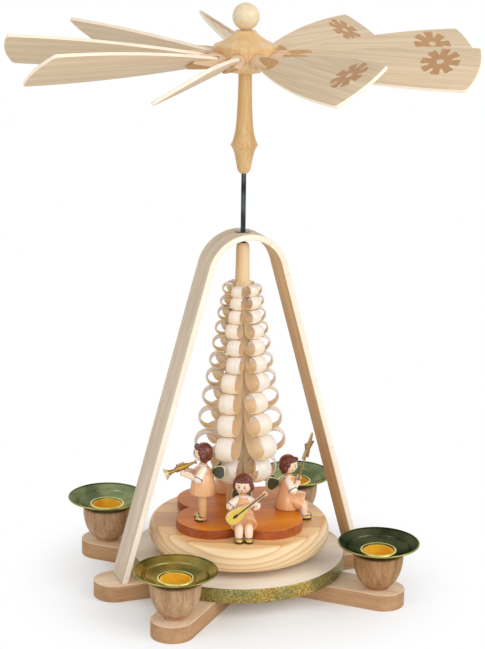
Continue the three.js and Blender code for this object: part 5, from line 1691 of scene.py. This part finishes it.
def standing_parts(neck, hands, elbow):
    """The gown hangs free of the clover on two long legs."""
    skirt = [(0, HEM + 0.6), (5.5, HEM + 0.6), (5.8, HEM), (6.25, HEM + 0.1)]
    skirt += through([(6.35, HEM + 0.6), (6.15, HEM + 3.5), (5.7, HEM + 6.6), (4.8, HEM + 9.4)], 6)
    parts = [(gown_shape(skirt, neck), gown_wood), collar_ring(neck)]
    for s, hand in zip(SIDES, hands):
        y = s * LEG_OUT
        leg = [(0, y, 0.8), (-0.1, y, 5), (0, y, HEM + 1)]
        parts.append((limb(leg, [1.7, 2.0, LEG]), leg_paint))
        parts += shoe_parts(1.2, y, 0.25)
        parts += arm_parts(neck, hand, s, elbow)
    return parts


# %% A seated figure
KNEE = 7.6
LAP_TILT = 108  # degrees from upright, so the knees slope down a little
LAP_FLAT = 0.72
SEAT = 0.3  # the gown's lowest face over the clover
CLOVER_THICK = plinth_top - stage_top


def seated_parts(neck, hands, elbow):
    """A bodice and a lap on the clover, with the feet on the stage below."""
    bodice = [(0, SEAT), (6.1, SEAT), *through([(6.3, 0.8), (6, 4), (5.2, 7.6), (4.5, 11)], 6)]
    bell = through([(5.2, 0), (5.7, 2.4), (6.2, 4.8), (6.5, KNEE)], 6)
    bell = [(0, 0), *bell, (6.4, KNEE + 0.35), (6.0, KNEE + 0.4), (5.4, KNEE - 1), (0, KNEE - 1.4)]
    lie = shift(0.2, 0, 5.8) @ Matrix.Rotation(math.radians(LAP_TILT), 4, "Y")
    lap = moved(turned(bell, 64), lie @ Matrix.Diagonal((LAP_FLAT, 1, 1, 1)))
    flat = [(x, y, max(z, SEAT)) for x, y, z in lap[0]]
    parts = [(gown_shape(bodice, neck), gown_wood), ((flat, lap[1]), gown_wood), collar_ring(neck)]
    ground = SEAT - CLOVER_THICK
    for s, hand in zip(SIDES, hands):
        y = s * LEG_OUT
        leg = [(5.6, y, 2.6), (7.8, y, 1.2), (8.6, y, ground + 1.4)]
        parts.append((limb(leg, [1.8, LEG, 1.8]), skin_paint))
        parts += shoe_parts(9.5, y, ground)
        parts += arm_parts(neck, hand, s, elbow)
    return parts


# %% [markdown]
# Two leaf-shaped wings are sawn from one thin board, glued together behind the gown and swept
# back. Their edges are gold and each face has a dark green panel, which is a thin board of its own
# and not a painted pattern, so that its outline stays sharp.

# %% Wings
WING_ROOT, WING_THICK, WING_SWEEP = 1.4, 1.0, 54
WING_CENTRE = Vector((3.9, 0.1))
PANEL = 0.87  # size of the green panel beside the whole wing
PANEL_PROUD = 0.07


def wing_outline(share):
    """The outline of one wing, drawn in towards its middle to a share of its size."""
    spots = [(0, -WING_ROOT), (2.8, -3.4), (5.6, -3.5), (7.6, -0.6), (6.8, 3.3), (3.8, 3.5),
             (0, WING_ROOT)]
    whole = [(-0.5, -WING_ROOT), *through(spots, 5), (-0.5, WING_ROOT)]
    return [tuple(WING_CENTRE.lerp(Vector(spot), share)) for spot in whole]


def wing_parts(x, z):
    """A pair of wings that meet at a place behind the gown."""
    parts = []
    whole = upright(board(wing_outline(1), -WING_THICK / 2, WING_THICK / 2, 0.2))
    proud = WING_THICK / 2 + PANEL_PROUD
    panel = upright(board(wing_outline(PANEL), -proud, proud, 0.1, 1))
    for s in SIDES:
        lie = shift(x, 0, z) @ spin(s * (90 + WING_SWEEP))
        parts += [(moved(whole, lie), pale_gold_paint), (moved(panel, lie), wing_paint)]
    return parts


# %% [markdown]
# ## What the angels hold
# A trumpet with a flared open bell, a mandolin with a long neck and a dark line down its middle, a
# star on a pole and a flute. Each is made along its own +Z and then aimed from the hands, so the
# same length and the same profile serve, however it is held.


# %% Trumpet
VALVES = 3


def trumpet_parts():
    """A tube with a swelling, an open bell with a paler lining, and valves on top."""
    length, tube = 16.6, 0.6
    outside = [(0, 0), (1, 0), (1, 0.4), (tube, 1.4), (0.8, 4), (1.5, 5.2), (1.5, 10.6), (0.9, 11.7)]
    bell = through([(0.9, 11.8), (1.1, 13.4), (1.9, 15.3), (3.1, length)], 6)
    inside = [(2.8, length + 0.05), (1.4, 15.2), (0.5, 13.4)]
    parts = [(turned([*outside, *bell, *inside, (0, 13.2)], 40), gold_paint)]
    lining = [(0, 13.4), *[(r - 0.06, z + 0.06) for r, z in reversed(inside)]]
    lining += [(2.86, length + 0.1), (3.16, length + 0.05), (1.96, 15.2), (1.6, 14.8), (0, 13.3)]
    parts.append((turned(lining, 40), pale_gold_paint))
    for k in range(VALVES):
        valve = turned(eased([(0, 0), (0.6, 0), (0.6, 2.4), (0, 2.4)], 0.2), 20)
        lean = shift(0, 0, 6.6 + 1.45 * k) @ Matrix.Rotation(-math.pi / 2, 4, "Y")
        parts.append((moved(valve, lean), gold_paint))
    return parts


# %% Mandolin
def mandolin_parts():
    """A flat pear with a yellow face and a sound hole, a neck, a head and a dark line in front."""
    length, bowl, deep = 24, 13.6, 2.2
    side = [(0, 0), (2.0, 0.5), (3.2, 2.7), (3.2, 5.6), (2.2, 9.6), (0.75, bowl)]
    curve = through(side, 6)
    shape = curve + [(-x, y) for x, y in reversed(curve[1:])]
    parts = [(upright(board(shape, -deep / 2, deep / 2, 0.4)), pale_gold_paint)]
    face = [(x * 0.9, 0.4 + y * 0.92) for x, y in shape]
    parts.append((upright(board(face, deep / 2 - 0.5, deep / 2 + 0.08, 0.08, 1)), yellow_lacquer))
    parts.append((block((-0.7, -deep / 2 - 0.1, bowl - 3), (0.7, 0, length)), neck_lacquer))
    parts.append((block((-1.3, -deep / 2, length - 2), (1.3, 0, length)), neck_lacquer))
    parts.append((block((-0.28, -deep / 2 - 0.3, 4.5), (0.28, -deep / 2, length - 1)), dark_paint))
    hole = upright(board(arc((0, 5), (0.75, 1.6), 0, 345, 23), deep / 2, deep / 2 + 0.18, edge=0))
    parts.append((hole, dark_paint))
    return parts


# %% Star and flute
STAR_POINTS = 5
FLUTE_HOLES = 5


def star_parts():
    """A five-pointed star on a thin pole."""
    reach, inner, thick, pole = 7.6, 3.2, 1.2, 20
    outline = []
    for i in range(2 * STAR_POINTS):
        r = inner if i % 2 else reach
        a = math.pi / 2 + math.pi * i / STAR_POINTS
        outline.append((r * math.cos(a), pole + r * math.sin(a)))
    stick = turned(eased([(0, 0), (0.5, 0), (0.5, pole), (0, pole)], 0.2), 20)
    return [(stick, pole_paint), (upright(board(outline, -thick / 2, thick / 2, 0.25)), bronze_paint)]


def flute_parts():
    """A plain tube with a row of dark holes."""
    length, radius = 15, 0.75
    parts = [(turned(eased([(0, 0), (radius, 0), (radius, length), (0, length)], 0.2), 24), gold_paint)]
    for k in range(FLUTE_HOLES):
        parts.append((ball((0, -radius, 5 + 1.7 * k), (0.3, 0.12, 0.3), 10), dark_paint))
    return parts


# %% The four angels
def mouth(neck, below, gap, y):
    """A point before the mouth: an angle below level and a gap off the face."""
    reach = HEAD + gap
    a = math.radians(below)
    return (HEAD_AHEAD + reach * math.cos(a), y, head_height(neck) - reach * math.sin(a))


# radius and angle are a figure's place on the clover, facing is where it looks, and neck is the
# height of its neck's joint. look turns and nods its head, elbow is how far an elbow lies ahead,
# out and under the neck, hands are the places of both hands, and held lays what they hold. All are
# in mm and degrees.
angels = {
    "trumpet": dict(build=standing_parts, neck=29, radius=24.5, angle=-158.8, facing=165,
                    look=(0, 0), elbow=(2.9, 5.3, 6.4), hands=[(8.2, -2, 25.5), (10.2, 2, 24.7)],
                    node="trumpet", tool=trumpet_parts,
                    held=aimed(mouth(29, 58, 0.9, 0), (0.93, 0, -0.38))),
    "mandolin": dict(build=seated_parts, neck=16.1, radius=25.2, angle=-107.5, facing=-107.5,
                     look=(-14, 10), elbow=(2.2, 6.3, 5.0), hands=[(5.8, -6.6, 11.6), (6.2, 5.4, 13.6)],
                     node="mandolin", tool=mandolin_parts,
                     held=aimed((11.3, -8.4, 6.4), (-0.12, 0.8, 0.6), 90)),
    "star": dict(build=seated_parts, neck=17.2, radius=24.2, angle=-19, facing=-25,
                 look=(-24, 6), elbow=(2.9, 5.6, 6.0), hands=[(5.2, -2.1, 14.2), (5.5, 2.7, 15.4)],
                 node="star_pole", tool=star_parts,
                 held=aimed((4.8, 0, 12.4), (0.25, 0.12, 0.96), 73)),
    "flute": dict(build=seated_parts, neck=17.2, radius=24.6, angle=85, facing=58,
                  look=(0, 0), elbow=(2.9, 5.6, 6.0), hands=[(5.5, 4.6, 16.6), (6, 8.6, 16.2)],
                  node="flute", tool=flute_parts,
                  held=aimed(mouth(17.2, 35, 1.05, -2), (0.1, 1, -0.1))),
}

# %% Put them together
WINGS_BACK, WINGS_DROP = -4.6, 3.9
for name, angel in angels.items():
    a = math.radians(angel["angle"])
    spot = shift(angel["radius"] * math.cos(a), angel["radius"] * math.sin(a), plinth_top)
    place = spot @ spin(angel["facing"])
    neck = angel["neck"]
    figure = angel["build"](neck, angel["hands"], angel["elbow"])
    piece(f"gown_{name}", figure, "rotor", f"angel_body_{name}", place=place)
    piece(f"head_{name}", head_parts(neck, *angel["look"]), "rotor", f"angel_head_{name}",
          place=place)
    piece(f"wings_{name}", wing_parts(WINGS_BACK, neck - WINGS_DROP), "rotor", f"angel_wings_{name}",
          place=place)
    tool = [(moved(shape, angel["held"]), finish_used) for shape, finish_used in angel["tool"]()]
    piece(f"held_{name}", tool, "rotor", angel["node"], place=place)
print("angels:", ", ".join(angels))

# %% [markdown]
# ## Last settings
# The Standard view shows a colour as it is written.

# %% Finish
bpy.context.scene.view_settings.view_transform = "Standard"
